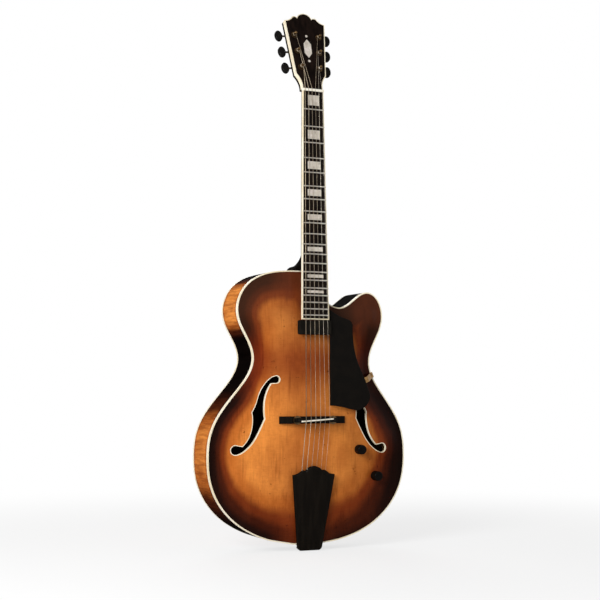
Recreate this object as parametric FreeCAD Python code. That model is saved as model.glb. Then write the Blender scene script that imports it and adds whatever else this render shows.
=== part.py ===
import FreeCAD, Part
import math
import os

os.makedirs("parts", exist_ok=True)
V = FreeCAD.Vector
UP = V(0, 0, 1)

# Bench frame while building, in mm: X across to the treble side, Y from the tail along the neck,
# Z out of the top, with zero at mid rim depth on the outside of the tail.

# Reach of a tool that cuts right through, and how far a tool stands proud of what it cuts
CUT_REACH = 60.0
CUT_SPARE = 1.0

# Body outline: a drop is measured down from the neck end, a share from the lower to the upper bout
BODY_LENGTH = 534.5
LOWER_BOUT = 420.0
LOWER_BOUT_AT = 168.0
LOWER_FULLNESS = 2.2
LOWER_SKEW = 1.35
WAIST_BASS = 119.0
WAIST_BASS_SHARE = 0.675
WAIST_TREBLE = 131.5
WAIST_TREBLE_SHARE = 0.67
UPPER_BASS = 152.0
UPPER_BASS_DROP = 80.5
SHOULDER_FULLNESS = 3.5
HORN_SIDE = 160.5
HORN_SIDE_DROP = 87.5
HORN_TIP = 127.0
HORN_TIP_DROP = 38.5
TROUGH = 65.0
TROUGH_DROP = 70.5
NECK_CORNER_DROP = 49.5
HEEL_WIDTH = 52.0

# Body plates and rims
RIM_DEPTH = 86.0
SIDE_THICKNESS = 2.5
BINDING_WIDTH = 2.4
BINDING_HEIGHT = 6.5
TOP_THICKNESS = 5.0
BACK_THICKNESS = 4.5
TOP_ARCH = 16.0
BACK_ARCH = 16.0
ARCH_LEDGE = 9.0
ARCH_REACH = 122.0
ARCH_LENGTH_WEIGHT = 0.62
ARCH_EARLINESS = 0.65
ARCH_GRID = 12.5
ARCH_EASING = 8
ARCH_BLEND = 14.0
LINING_WIDTH = 6.0
LINING_HEIGHT = 15.0
SEAT_GAP = 0.05
LINING_GAP = 0.45
BLOCK_WIDTH = 62.0
NECK_BLOCK_LENGTH = 58.0
TAIL_BLOCK_LENGTH = 22.0
TONE_BAR_WIDTH = 7.0
TONE_BAR_HEIGHT = 14.0
TONE_BAR_TAIL_GAP = 95.0
TONE_BAR_NECK_GAP = 109.5
TONE_BAR_OFFSET = 38.0
TONE_BAR_SPLAY = 4.0
FHOLE_BINDING = 1.4
FHOLE_FROM_EDGE = 100.0
FHOLE_ABOVE_BRIDGE = 8.0
FHOLE_LOWER_EYE = 10.0
FHOLE_UPPER_EYE = 8.2

# Neck and fingerboard
SCALE = 647.7
NUT_TO_BODY = 355.0
NECK_ANGLE = 1.9
BOARD_HEIGHT_AT_BODY = 29.5
BOARD_LENGTH = 452.0
BOARD_THICKNESS = 6.5
BOARD_RADIUS = 305.0
NUT_WIDTH = 44.5
BOARD_END_WIDTH = 57.5
BOARD_BINDING = 1.8
LAST_FRET_ROOM = 5.0
FRET_WIDTH = 2.4
FRET_HEIGHT = 1.1
TANG_WIDTH = 0.6
TANG_DEPTH = 2.0
FRET_END_INSET = 0.4
INLAY_FRETS = (1, 3, 5, 7, 9, 12, 15, 17)
INLAY_SIDE_MARGIN = 10.6
INLAY_END_MARGIN = 2.6
INLAY_END_SHARE = 0.147
INLAY_DEPTH = 2.0
NECK_DEPTH_AT_NUT = 15.0
NECK_DEPTH_AT_BODY = 18.5
NECK_BODY_OVERLAP = 5.0
NECK_HEAD_OVERLAP = 18.0
NECK_HEAD_INSET = 0.2
EXTENSION_WIDTH = 46.0
EXTENSION_DEPTH = 9.0
EXTENSION_SETBACK = 12.0
EXTENSION_OVERLAP = 6.0
HEEL_CAP_LIFT = 1.0
HEEL_CAP_LENGTH = 15.0
HEEL_CAP_WIDTH = 30.0
HEEL_SWEEP = 46.0
TENON_WIDTH = 28.0
TENON_FLARE = 3.0
TENON_LENGTH = 18.0
TENON_FLOOR = 16.0
ROD_RADIUS = 2.4
ROD_DEPTH = 4.5
ROD_NUT_RADIUS = 4.0
ROD_NUT_LENGTH = 5.0
ROD_NUT_SETBACK = 8.0
NUT_THICKNESS = 5.0
NUT_STAND = 2.2
NUT_BACK_STAND = 1.2
NUT_CREST = 3.0

# Headstock
HEAD_ANGLE = 14.0
HEAD_STEP = 3.0
HEAD_LOWER_HALF = 32.4
HEAD_LOWER_AT = 31.5
HEAD_SWEEP_OUT = 2.4
HEAD_SWEEP_SHARE = 0.6
HEAD_UPPER_HALF = 43.7
HEAD_UPPER_AT = 150.2
HEAD_LOBE = 22.7
HEAD_LOBE_RISE = 11.8
HEAD_TURN_INSET = 5.0
HEAD_TURN_SHARE = 0.66
HEAD_HOLLOW_SHARE = 0.16
HEAD_NOTCH = 16.1
HEAD_NOTCH_RISE = 9.6
HEAD_DOME_RISE = 20.4
HEAD_THICKNESS = 15.0
OVERLAY_THICKNESS = 2.0
HEAD_BINDING_WIDTH = 1.8
HEAD_BINDING_HEIGHT = 9.0
HEAD_INLAY_DEPTH = 1.2
HEAD_INLAY_HALF_WIDTH = 8.0
HEAD_INLAY_HALF_LENGTH = 21.0
HEAD_INLAY_DOT_RADIUS = 2.6
HEAD_INLAY_DOT_GAP = 7.0

# Tuners
TUNER_FIRST_AT = 47.0
TUNER_PITCH = 35.7
POST_INSET = 14.0
POST_RADIUS = 2.7
POST_TOP = 11.0
POST_CHAMFER = 0.5
POST_HOLE_RADIUS = 1.0
POST_HOLE_AT = 8.6
BUSHING_RADIUS = 6.2
BUSHING_WASHER = 0.6
BUSHING_NUT_RADIUS = 5.2
BUSHING_HEIGHT = 1.8
BUSHING_SLEEVE = 4.5
BUSHING_DEPTH = 7.0
RUN_GAP = 0.1
WHEEL_RADIUS = 5.0
WHEEL_TEETH = 14
WHEEL_NOTCH_RADIUS = 0.55
WHEEL_HEIGHT = 4.0
WORM_OFFSET = 7.75
WORM_DROP = 4.5
WORM_SHAFT_RADIUS = 1.9
WORM_THREAD_RADIUS = 0.45
WORM_THREAD_AT = 2.1
WORM_PITCH = 2.2
WORM_TURNS = 4
HOUSING_WALL = 1.4
HOUSING_HEIGHT = 10.0
HOUSING_GAP = 1.2
HOUSING_ROUNDING = 1.8
LUG_WIDTH = 9.0
LUG_LENGTH = 6.4
LUG_LAP = 0.6
LUG_THICKNESS = 2.0
BUTTON_LENGTH = 16.0
BUTTON_WIDTH = 23.0
BUTTON_THICKNESS = 8.5
BUTTON_GAP = 3.0
BUTTON_ROUNDING = 3.0
BUTTON_SOCKET = 9.0

# Strings, from the lowest to the highest
STRING_DIAMETERS = (1.32, 1.07, 0.81, 0.61, 0.43, 0.33)
WOUND_COUNT = 4
NUT_SPREAD = 37.0
SADDLE_SPREAD = 50.4
NUT_ACTION = 1.5
SADDLE_ACTION = 4.9
STRING_SEAT_GAP = 0.06
STRING_SIDE_GAP = 0.1
STRING_SADDLE_GAP = 0.16
NUT_BREAK = 0.6
WRAP_POST_GAP = 0.08
WRAP_LIFTS = (2.8, 0.5, 0.5)
WRAP_GAP = 0.5
WRAP_QUARTERS_WOUND = 10
WRAP_QUARTERS_PLAIN = 15
BEND_RADIUS = 5.0
BALL_RADIUS = 2.0
BALL_LENGTH = 4.0
BALL_GAP = 0.2

# Bridge
BASE_LENGTH = 138.0
BASE_WIDTH = 14.0
BASE_CROWN = 25.5
BASE_END_THICKNESS = 5.0
BASE_ARCH_SPAN = 40.0
BASE_ARCH_RISE = 3.0
BASE_ARCH_SLOPE = 4.0
BASE_SHOULDER_MARGIN = 1.0
BRIDGE_POST_SPREAD = 75.0
BRIDGE_POST_RADIUS = 2.2
BRIDGE_POST_SINK = 6.0
BRIDGE_POST_TOP = 39.5
WHEEL_NUT_RADIUS = 8.4
WHEEL_NUT_HEIGHT = 3.0
WHEEL_NUT_LIFT = 2.7
WHEEL_NUT_NOTCHES = 30
WHEEL_NUT_NOTCH_RADIUS = 0.45
SADDLE_LENGTH = 90.0
SADDLE_WIDTH = 8.5
SADDLE_POST_GAP = 0.3
SADDLE_ROUNDING = 2.0
INSERT_WIDTH = 2.6
INSERT_DEPTH = 4.0
INSERT_STAND = 1.5
INSERT_LENGTH = 68.0
INSERT_SLANT = 4.5
INSERT_BEVEL = 0.9

# Tailpiece and jack
TAILPIECE_LIFT = 8.4
TAILPIECE_ANGLE = 8.0
TAILPIECE_THICKNESS = 7.5
TAILPIECE_OVERHANG = 12.0
TAILPIECE_END_HALF = 26.0
TAILPIECE_CORNER = 8.0
TAILPIECE_SHOULDER_HALF = 44.0
TAILPIECE_SHARE = 0.566
TAILPIECE_HOLLOW = (34.0, 2.0)
TAILPIECE_TURN = (27.6, 6.0)
TAILPIECE_LOBE = (22.6, 8.6)
TAILPIECE_NOTCH = (17.6, 7.4)
TAILPIECE_DOME_RISE = 16.6
TAILPIECE_BEVEL = 1.6
STRING_POCKET_DROP = 18.0
STRING_POCKET_LENGTH = 8.0
STRING_POCKET_HALF = 31.0
STRING_POCKET_ROOF = 3.0
STRING_ENTRY_DEPTH = 6.2
STRING_HOLE_GAP = 0.35
BRACKET_THICKNESS = 3.0
BRACKET_HALF_WIDTH = 18.0
BRACKET_TAIL = 24.0
BRACKET_INSET = 1.0
BRACKET_SEAT_GAP = 0.1
BRACKET_SCREW_SPREAD = 24.0
JACK_BORE_RADIUS = 3.2
JACK_BORE_LENGTH = 30.0
JACK_FLOOR = 3.0
JACK_BODY_RADIUS = 6.0
JACK_CAP_RADIUS = 8.0
JACK_GROOVE_RADIUS = 6.0
JACK_FLANGE = 2.0
JACK_GROOVE_FROM = 3.5
JACK_GROOVE_TO = 8.0
JACK_STAND = 10.0
JACK_ROUNDING = 1.0

# Pickguard and pickup
GUARD_DROP = 7.3
GUARD_ANGLE = 0.8
GUARD_THICKNESS = 3.5
GUARD_LEFT = 34.0
GUARD_BEVEL = 1.0
GUARD_TAB_FROM = 8.0
GUARD_TAB_TO = 17.0
GUARD_TAB_LAP = 4.0
PICKUP_LENGTH = 67.0
PICKUP_WIDTH = 28.0
PICKUP_HEIGHT = 12.0
PICKUP_GAP = 1.2
PICKUP_DROP = 1.6
PICKUP_WALL = 1.5
PICKUP_CORNER = 3.0
PICKUP_ROUNDING = 1.0
PICKUP_EAR = 12.0
PICKUP_EAR_WIDTH = 14.0
BRACKET_STRIP_WIDTH = 11.0
BRACKET_STRIP_THICKNESS = 1.6
GUARD_BRACKET_ABOVE_BRIDGE = 86.9
GUARD_BRACKET_LEG = 20.0
GUARD_BRACKET_LAP = 5.0
GUARD_BRACKET_LIFT = 1.0
GUARD_BRACKET_STEP = 2.0
GUARD_BRACKET_FLAT = 13.0
GUARD_SCREW_DROP = 13.0

# Controls
VOLUME_FROM_EDGE = 109.5
VOLUME_SHARE = 0.756
TONE_FROM_EDGE = 71.5
TONE_SHARE = 0.537
KNOB_RADIUS = 9.5
KNOB_HEIGHT = 17.5
KNOB_SKIRT = 13.5
KNOB_SOCKET = 9.5
KNOB_ROUNDING = 1.2
KNOB_TOP_RADIUS = 8.6
KNOB_LIFT = 3.4
POT_RADIUS = 12.0
POT_HEIGHT = 9.0
POT_FLOOR = 1.0
POT_KNOB_GAP = 0.4
POT_BUSHING_RADIUS = 3.9
POT_SHAFT_RADIUS = 3.0
POT_NUT_RADIUS = 6.0
POT_NUT_HEIGHT = 2.2

# Screws
SCREW_RADIUS = 1.3
SCREW_HEAD_RADIUS = 2.6
SCREW_HEAD_HEIGHT = 1.4
SCREW_LENGTH = 7.0

# Values worked out from the sizes above
TOP = RIM_DEPTH / 2
BACK = -RIM_DEPTH / 2
HEEL_HALF = HEEL_WIDTH / 2
RADIANS = math.pi / 180
NUT_AT = BODY_LENGTH + NUT_TO_BODY * math.cos(NECK_ANGLE * RADIANS)
NUT_HEIGHT = TOP + BOARD_HEIGHT_AT_BODY - NUT_TO_BODY * math.sin(NECK_ANGLE * RADIANS)
UPPER_BASS_AT = BODY_LENGTH - UPPER_BASS_DROP
HORN_SIDE_AT = BODY_LENGTH - HORN_SIDE_DROP
HORN_TIP_AT = BODY_LENGTH - HORN_TIP_DROP
TROUGH_AT = BODY_LENGTH - TROUGH_DROP
NECK_CORNER_AT = BODY_LENGTH - NECK_CORNER_DROP
WAIST_BASS_AT = LOWER_BOUT_AT + WAIST_BASS_SHARE * (UPPER_BASS_AT - LOWER_BOUT_AT)
WAIST_TREBLE_AT = LOWER_BOUT_AT + WAIST_TREBLE_SHARE * (HORN_SIDE_AT - LOWER_BOUT_AT)


def frame(x, y, z, tilt):
    return FreeCAD.Placement(V(x, y, z), FreeCAD.Rotation(V(1, 0, 0), tilt))


# Frames of the neck, headstock, tailpiece and pickguard on the bench
NECK = frame(0, NUT_AT, NUT_HEIGHT, -NECK_ANGLE)
HEAD = NECK.multiply(frame(0, NUT_THICKNESS, -HEAD_STEP, -HEAD_ANGLE))
TAILPIECE = frame(0, 0, TOP + TAILPIECE_LIFT, TAILPIECE_ANGLE)
BOARD_END = NECK.multVec(V(0, -BOARD_LENGTH, 0))
GUARD = frame(0, BOARD_END.y, BOARD_END.z - GUARD_DROP, -GUARD_ANGLE)
BRIDGE_AT = NECK.multVec(V(0, -SCALE, SADDLE_ACTION)).y
TAILPIECE_SHOULDER_AT = TAILPIECE_SHARE * BRIDGE_AT
STRING_POCKET_AT = TAILPIECE_SHOULDER_AT - STRING_POCKET_DROP
VOLUME_AT = (LOWER_BOUT / 2 - VOLUME_FROM_EDGE, VOLUME_SHARE * BRIDGE_AT)
TONE_AT = (LOWER_BOUT / 2 - TONE_FROM_EDGE, TONE_SHARE * BRIDGE_AT)


# General helpers
def put(shape, placement):
    placed = shape.copy()
    placed.Placement = placement.multiply(placed.Placement)
    return placed


def box(x0, x1, y0, y1, z0, z1):
    return Part.makeBox(x1 - x0, y1 - y0, z1 - z0, V(x0, y0, z0))


def mirrored(shape):
    return shape.mirror(V(0, 0, 0), V(1, 0, 0))


def joined(shapes):
    return shapes[0].fuse(shapes[1:]).removeSplitter()


def solids_of(shape):
    return shape.Solids[0] if len(shape.Solids) == 1 else Part.makeCompound(shape.Solids)


def save(name, shape):
    turned = solids_of(shape).copy()
    turned.rotate(V(0, 0, 0), V(1, 0, 0), 90)
    turned.exportStep("parts/" + name + ".step")
    print(name, len(turned.Solids), turned.isValid(), round(turned.Volume, 1))


# Flat outlines: stretches of a kind ("line", "arc" or "curve") with their points, counter-clockwise
def directions(kind, points):
    if kind == "line":
        return [(points[1] - points[0]).normalize()] * 2
    if kind == "arc":
        centre = Part.Circle(*points).Center
        ways = [UP.cross(p - centre).normalize() for p in points]
        sense = 1 if ways[1].dot(points[2] - points[0]) > 0 else -1
        return [w * sense for w in ways]
    inner = [(b - a).normalize() for a, b in zip(points, points[2:])]
    first = ((points[1] - points[0]).normalize() * 2 - inner[0]).normalize()
    last = ((points[-1] - points[-2]).normalize() * 2 - inner[-1]).normalize()
    return [first] + inner + [last]


def mitre(a, b):
    return (a + b) * (1 / (1 + a.dot(b)))


def inset(outline, distance):
    normals = [[UP.cross(w) for w in directions(k, p)] for k, p in outline]
    moved = []
    for i, (kind, points) in enumerate(outline):
        after = normals[(i + 1) % len(outline)]
        steps = list(normals[i])
        steps[0] = mitre(normals[i - 1][-1], normals[i][0])
        steps[-1] = mitre(normals[i][-1], after[0])
        moved.append((kind, [p + s * distance for p, s in zip(points, steps)]))
    return moved


def edge(kind, points):
    if kind == "line":
        return Part.LineSegment(*points).toShape()
    if kind == "arc":
        return Part.Arc(*points).toShape()
    ways = directions(kind, points)
    curve = Part.BSplineCurve()
    curve.interpolate(Points=points, InitialTangent=ways[0], FinalTangent=ways[-1])
    return curve.toShape()


def wire(outline):
    return Part.Wire([edge(kind, points) for kind, points in outline])


def prism(outline, low, high):
    face = Part.Face(wire(outline))
    face.translate(V(0, 0, low))
    return face.extrude(V(0, 0, high - low))


def bevelled(outline, low, high, bevel):
    lower = wire(outline)
    lower.translate(V(0, 0, high - bevel))
    upper = wire(inset(outline, bevel))
    upper.translate(V(0, 0, high))
    rim = Part.makeLoft([lower, upper], True, True)
    return prism(outline, low, high - bevel).fuse(rim).removeSplitter()


def polygon(*corners):
    points = [V(x, y, 0) for x, y in corners]
    return [("line", [a, b]) for a, b in zip(points, points[1:] + points[:1])]


def points_of(*pairs):
    return [V(x, y, 0) for x, y in pairs]


def opposite(*points):
    return [V(-p.x, p.y, 0) for p in points]


def band(outer, inner, low, high):
    face = Part.makeFace([wire(outer), wire(inner)], "Part::FaceMakerBullseye")
    face.translate(UP * low)
    return face.extrude(UP * (high - low))


def round_bar(start, end, radius):
    return Part.makeCylinder(radius, (end - start).Length, start, end - start)


def hex_bar(start, end, radius):
    angles = [math.pi / 3 * i for i in range(7)]
    face = Part.Face(Part.makePolygon([V(radius * math.cos(a), radius * math.sin(a), 0) for a in angles]))
    bar = face.extrude(UP * (end - start).Length)
    return put(bar, FreeCAD.Placement(start, FreeCAD.Rotation(UP, end - start)))


# Body outline
def ease(share):
    return (1 - math.cos(math.pi * share)) / 2


def lower_bout(steps):
    half = LOWER_BOUT / 2
    power = 2 / LOWER_FULLNESS
    angles = [math.pi / 2 * i / steps for i in range(steps + 1)]
    return [(half * math.sin(a) ** power, LOWER_BOUT_AT * (1 - abs(math.cos(a)) ** power)) for a in angles]


def to_waist(waist, waist_at, steps):
    half = LOWER_BOUT / 2
    shares = [i / steps for i in range(1, steps + 1)]
    return [
        (half + (waist - half) * ease(s ** LOWER_SKEW), LOWER_BOUT_AT + (waist_at - LOWER_BOUT_AT) * s)
        for s in shares
    ]


def treble_points():
    pairs = lower_bout(9) + to_waist(WAIST_TREBLE, WAIST_TREBLE_AT, 7)
    for i in range(1, 5):
        rise = (HORN_SIDE_AT - WAIST_TREBLE_AT) * i / 4
        pairs.append((WAIST_TREBLE + (HORN_SIDE - WAIST_TREBLE) * ease(i / 4), WAIST_TREBLE_AT + rise))
    for i in range(1, 6):
        angle = math.pi / 2 * i / 5
        x = HORN_TIP + (HORN_SIDE - HORN_TIP) * math.cos(angle)
        pairs.append((x, HORN_SIDE_AT + (HORN_TIP_AT - HORN_SIDE_AT) * math.sin(angle)))
    for i in range(1, 7):
        y = HORN_TIP_AT + (TROUGH_AT - HORN_TIP_AT) * ease(i / 6)
        pairs.append((HORN_TIP + (TROUGH - HORN_TIP) * i / 6, y))
    for i in range(1, 5):
        y = TROUGH_AT + (NECK_CORNER_AT - TROUGH_AT) * (i / 4) ** 2
        pairs.append((TROUGH + (HEEL_HALF - TROUGH) * i / 4, y))
    return points_of(*pairs)


def bass_points():
    pairs = lower_bout(9) + to_waist(WAIST_BASS, WAIST_BASS_AT, 7)
    for i in range(1, 5):
        rise = (UPPER_BASS_AT - WAIST_BASS_AT) * i / 4
        pairs.append((WAIST_BASS + (UPPER_BASS - WAIST_BASS) * ease(i / 4), WAIST_BASS_AT + rise))
    power = 2 / SHOULDER_FULLNESS
    last = math.acos((HEEL_HALF / UPPER_BASS) ** (1 / power))
    rise = (BODY_LENGTH - UPPER_BASS_AT) / math.sin(last)
    for i in range(1, 9):
        angle = last * math.sin(math.pi / 2 * i / 8)
        pairs.append((UPPER_BASS * math.cos(angle) ** power, UPPER_BASS_AT + rise * math.sin(angle)))
    return points_of(*[(-x, y) for x, y in reversed(pairs)])


def body_outline():
    corner = points_of((HEEL_HALF, NECK_CORNER_AT), (HEEL_HALF, BODY_LENGTH), (-HEEL_HALF, BODY_LENGTH))
    return [
        ("curve", treble_points()),
        ("line", corner[0:2]),
        ("line", corner[1:3]),
        ("curve", bass_points()),
    ]


BODY = body_outline()


# Arching: height grows with the distance from the edge, flat on the glued ledge
EDGE = [(p.x, p.y) for p in wire(BODY).discretize(Number=320)]


def inside(x, y):
    hit = False
    for (x0, y0), (x1, y1) in zip(EDGE, EDGE[1:] + EDGE[:1]):
        if (y0 > y) != (y1 > y) and x < x0 + (x1 - x0) * (y - y0) / (y1 - y0):
            hit = not hit
    return hit


def edge_distance(x, y):
    if not inside(x, y):
        return 0.0
    return min(math.hypot(x - a, ARCH_LENGTH_WEIGHT * (y - b)) for a, b in EDGE)


def arch_share(distance):
    share = min(max((distance - ARCH_LEDGE) / ARCH_REACH, 0), 1) ** ARCH_EARLINESS
    return share * share * (3 - 2 * share)


def grid_lines():
    half = LOWER_BOUT / 2 + ARCH_GRID
    across = 2 * math.ceil(half / ARCH_GRID)
    along = math.ceil((BODY_LENGTH + 2 * ARCH_GRID) / ARCH_GRID)
    xs = [-half + 2 * half * i / across for i in range(across + 1)]
    ys = [-ARCH_GRID + (BODY_LENGTH + 2 * ARCH_GRID) * j / along for j in range(along + 1)]
    return xs, ys


def eased(rows):
    middle = [[(a + 2 * b + c) / 4 for a, b, c in zip(r, r[1:], r[2:])] for r in rows]
    rows = [[r[0]] + m + [r[-1]] for r, m in zip(rows, middle)]
    return [list(line) for line in zip(*rows)]


def arch_grid():
    xs, ys = grid_lines()
    exact = [[edge_distance(x, y) for y in ys] for x in xs]
    soft = exact
    for i in range(2 * ARCH_EASING):
        soft = eased(soft)
    shares = []
    for near, far in zip(exact, soft):
        blends = [min(max((d - ARCH_LEDGE) / ARCH_BLEND - 1, 0), 1) for d in near]
        shares.append([arch_share(d + (e - d) * b) for d, e, b in zip(near, far, blends)])
    return shares


ARCH = arch_grid()


def arched_face(level, height):
    xs, ys = grid_lines()
    surface = Part.BSplineSurface()
    surface.interpolate([[V(x, y, level + height * s) for y, s in zip(ys, row)] for x, row in zip(xs, ARCH)])
    return surface.toShape()


def top_height(x, y):
    line = Part.LineSegment(V(x, y, TOP - CUT_REACH), V(x, y, TOP + CUT_REACH)).toShape()
    return TOP_FACE.distToShape(line)[1][0][0].z


TOP_FACE = arched_face(TOP, TOP_ARCH)
BACK_FACE = arched_face(BACK, -BACK_ARCH)
BELOW_TOP = TOP_FACE.extrude(UP * -CUT_REACH)
TOP_BLANK = TOP_FACE.extrude(UP * -TOP_THICKNESS)
BACK_BLANK = BACK_FACE.extrude(UP * BACK_THICKNESS)


def ceiling():
    face = TOP_FACE.copy()
    face.translate(UP * -TOP_THICKNESS)
    return face.extrude(UP * CUT_REACH)


def floor():
    face = BACK_FACE.copy()
    face.translate(UP * BACK_THICKNESS)
    return face.extrude(UP * -CUT_REACH)


CEILING = ceiling()
FLOOR = floor()


def fhole_points(*pairs):
    x = LOWER_BOUT / 2 - FHOLE_FROM_EDGE
    y = BRIDGE_AT + FHOLE_ABOVE_BRIDGE
    return points_of(*[(x + a, y + b) for a, b in pairs])


def fhole_outline():
    low = FHOLE_LOWER_EYE
    high = FHOLE_UPPER_EYE
    eye_low = fhole_points((46, -65.1 - low), (46.5 + low, -65.1), (43, -65.6 + low))
    eye_high = fhole_points((-37, 70.4 + high), (-37 - high, 70.4), (-37, 70.4 - high))
    outer_low = fhole_points((33, -57.4), (23.4, -46.2), (15.6, -29.3), (12.4, -11.1), (13.3, 7.4))
    outer_high = fhole_points((5, 22.9), (-1.5, 41.9), (-11.7, 59.9), (-24, 73.1))
    inner_high = fhole_points((-27.6, 61.9), (-19.8, 47.9), (-14.5, 30.9), (-12.7, 9.9), (-14, -5.6))
    inner_low = fhole_points((-6, -22.1), (3.2, -39.5), (16, -57.3), (33, -71))
    return [
        ("arc", eye_low),
        ("line", [eye_low[-1], outer_low[0]]),
        ("curve", outer_low),
        ("curve", [outer_low[-1]] + outer_high + [eye_high[0]]),
        ("arc", eye_high),
        ("line", [eye_high[-1], inner_high[0]]),
        ("curve", inner_high),
        ("curve", [inner_high[-1]] + inner_low + [eye_low[0]]),
    ]


def both_sides(shape):
    return [mirrored(shape), shape]


def tenon():
    half = TENON_WIDTH / 2
    deep = half + TENON_FLARE
    end = BODY_LENGTH - TENON_LENGTH
    shape = polygon((-deep, end), (deep, end), (half, BODY_LENGTH), (-half, BODY_LENGTH))
    high = TOP + BOARD_HEIGHT_AT_BODY - BOARD_THICKNESS - EXTENSION_DEPTH / 2
    return prism(shape, BACK + TENON_FLOOR, high)


TENON = tenon()


def pot_hole(at):
    return Part.makeCylinder(POT_BUSHING_RADIUS, RIM_DEPTH, V(at[0], at[1], 0))


def make_top():
    plate = TOP_BLANK.common(prism(inset(BODY, BINDING_WIDTH), TOP - CUT_REACH, TOP + CUT_REACH))
    holes = both_sides(prism(fhole_outline(), TOP - CUT_REACH, TOP + CUT_REACH))
    return plate.cut(holes + [TENON, pot_hole(VOLUME_AT), pot_hole(TONE_AT)])


def make_fhole_bindings():
    outline = fhole_outline()
    strip = band(outline, inset(outline, FHOLE_BINDING), TOP - CUT_REACH, TOP + CUT_REACH)
    return Part.makeCompound([TOP_BLANK.common(s) for s in both_sides(strip)])


def make_back():
    return BACK_BLANK.common(prism(inset(BODY, BINDING_WIDTH), BACK - CUT_REACH, BACK + CUT_REACH))


def ring(outer, inner, low, high):
    return band(inset(BODY, outer), inset(BODY, inner), low, high)


def jack_hole():
    return round_bar(V(0, -CUT_REACH, 0), V(0, CUT_REACH, 0), JACK_BODY_RADIUS)


def make_side(sign):
    hoop = ring(0, SIDE_THICKNESS, BACK + BINDING_HEIGHT, TOP - BINDING_HEIGHT)
    wide = sign * LOWER_BOUT
    half = box(min(0, wide), max(0, wide), -CUT_REACH, BODY_LENGTH + CUT_REACH, BACK, TOP)
    return hoop.common(half).cut([TENON, jack_hole()])


def make_body_bindings():
    upper = ring(0, BINDING_WIDTH, TOP - BINDING_HEIGHT, TOP).cut(TENON)
    lower = ring(0, BINDING_WIDTH, BACK, BACK + BINDING_HEIGHT)
    return Part.makeCompound([upper, lower])


def block_boxes():
    half = BLOCK_WIDTH / 2
    low = BACK - CUT_REACH
    high = TOP + CUT_REACH
    return [
        box(-half, half, BODY_LENGTH - NECK_BLOCK_LENGTH, BODY_LENGTH + CUT_SPARE, low, high),
        box(-half, half, -CUT_SPARE, SIDE_THICKNESS + TAIL_BLOCK_LENGTH, low, high),
    ]


def make_end_blocks():
    room = prism(inset(BODY, SIDE_THICKNESS), BACK - BACK_ARCH, TOP + TOP_ARCH)
    neck_block, tail_block = [room.common(b).cut([CEILING, FLOOR]) for b in block_boxes()]
    return Part.makeCompound([neck_block.cut(TENON), tail_block.cut(jack_hole())])


def make_linings():
    upper_seat = TOP - TOP_THICKNESS - LINING_GAP
    lower_seat = BACK + BACK_THICKNESS + LINING_GAP
    inner = SIDE_THICKNESS + LINING_WIDTH
    upper = ring(SIDE_THICKNESS, inner, upper_seat - LINING_HEIGHT, upper_seat)
    lower = ring(SIDE_THICKNESS, inner, lower_seat, lower_seat + LINING_HEIGHT)
    return Part.makeCompound([r.cut(block_boxes()) for r in (upper, lower)])


def make_tone_bars():
    half = TONE_BAR_WIDTH / 2
    start = TONE_BAR_TAIL_GAP
    end = BODY_LENGTH - TONE_BAR_NECK_GAP
    bars = []
    for sign in (-1, 1):
        bar = box(-half, half, start, end, TOP - TONE_BAR_HEIGHT, TOP + TOP_ARCH)
        bar.rotate(V(0, (start + end) / 2, 0), UP, sign * TONE_BAR_SPLAY)
        bar.translate(V(sign * TONE_BAR_OFFSET, 0, 0))
        bars.append(bar.cut(CEILING))
    return Part.makeCompound(bars)


# Neck
def board_half(y):
    return (NUT_WIDTH - (BOARD_END_WIDTH - NUT_WIDTH) * y / BOARD_LENGTH) / 2


def camber(radius):
    start = V(0, -BOARD_LENGTH - CUT_REACH, -BOARD_RADIUS)
    return Part.makeCylinder(radius, BOARD_LENGTH + 2 * CUT_REACH, start, V(0, 1, 0))


def board_outline(margin):
    end = margin - BOARD_LENGTH
    low = board_half(end) - margin
    high = board_half(0) - margin
    return polygon((-low, end), (low, end), (high, 0), (-high, 0))


def board_blank(margin):
    return prism(board_outline(margin), -BOARD_THICKNESS, CUT_SPARE).common(camber(BOARD_RADIUS))


def fret_at(number):
    return -SCALE * (1 - 2 ** (-number / 12))


def fret_count():
    last = (BOARD_LENGTH - LAST_FRET_ROOM) / SCALE
    return math.floor(-12 * math.log2(1 - last))


def one_fret(y):
    half = FRET_WIDTH / 2
    tang = TANG_WIDTH / 2
    crown = Part.Arc(V(0, y - half, 0), V(0, y, FRET_HEIGHT), V(0, y + half, 0)).toShape()
    foot = [
        V(0, y + half, 0),
        V(0, y + tang, 0),
        V(0, y + tang, -TANG_DEPTH),
        V(0, y - tang, -TANG_DEPTH),
        V(0, y - tang, 0),
        V(0, y - half, 0),
    ]
    face = Part.Face(Part.Wire([crown, Part.makePolygon(foot)]))
    swing = math.degrees(math.asin((board_half(y) - FRET_END_INSET) / BOARD_RADIUS))
    axis = V(0, 0, -BOARD_RADIUS)
    face.rotate(axis, V(0, 1, 0), -swing)
    return face.revolve(axis, V(0, 1, 0), 2 * swing)


FRETS = [one_fret(fret_at(n)) for n in range(1, fret_count() + 1)]


def inlay_boxes():
    boxes = []
    for number in [n for n in INLAY_FRETS if n <= len(FRETS)]:
        low = fret_at(number)
        high = fret_at(number - 1)
        margin = INLAY_END_MARGIN + INLAY_END_SHARE * (high - low)
        half = board_half((low + high) / 2) - INLAY_SIDE_MARGIN
        boxes.append(box(-half, half, low + margin, high - margin, -INLAY_DEPTH, CUT_SPARE))
    return boxes


def make_fingerboard():
    return put(board_blank(BOARD_BINDING).cut(inlay_boxes() + FRETS), NECK)


def make_fingerboard_binding():
    core = prism(board_outline(BOARD_BINDING), -CUT_REACH, CUT_REACH)
    return put(board_blank(0).cut([core] + FRETS), NECK)


def make_inlays():
    core = board_blank(BOARD_BINDING)
    return put(Part.makeCompound([core.common(b) for b in inlay_boxes()]), NECK)


def make_frets():
    return put(Part.makeCompound(FRETS), NECK)


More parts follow.
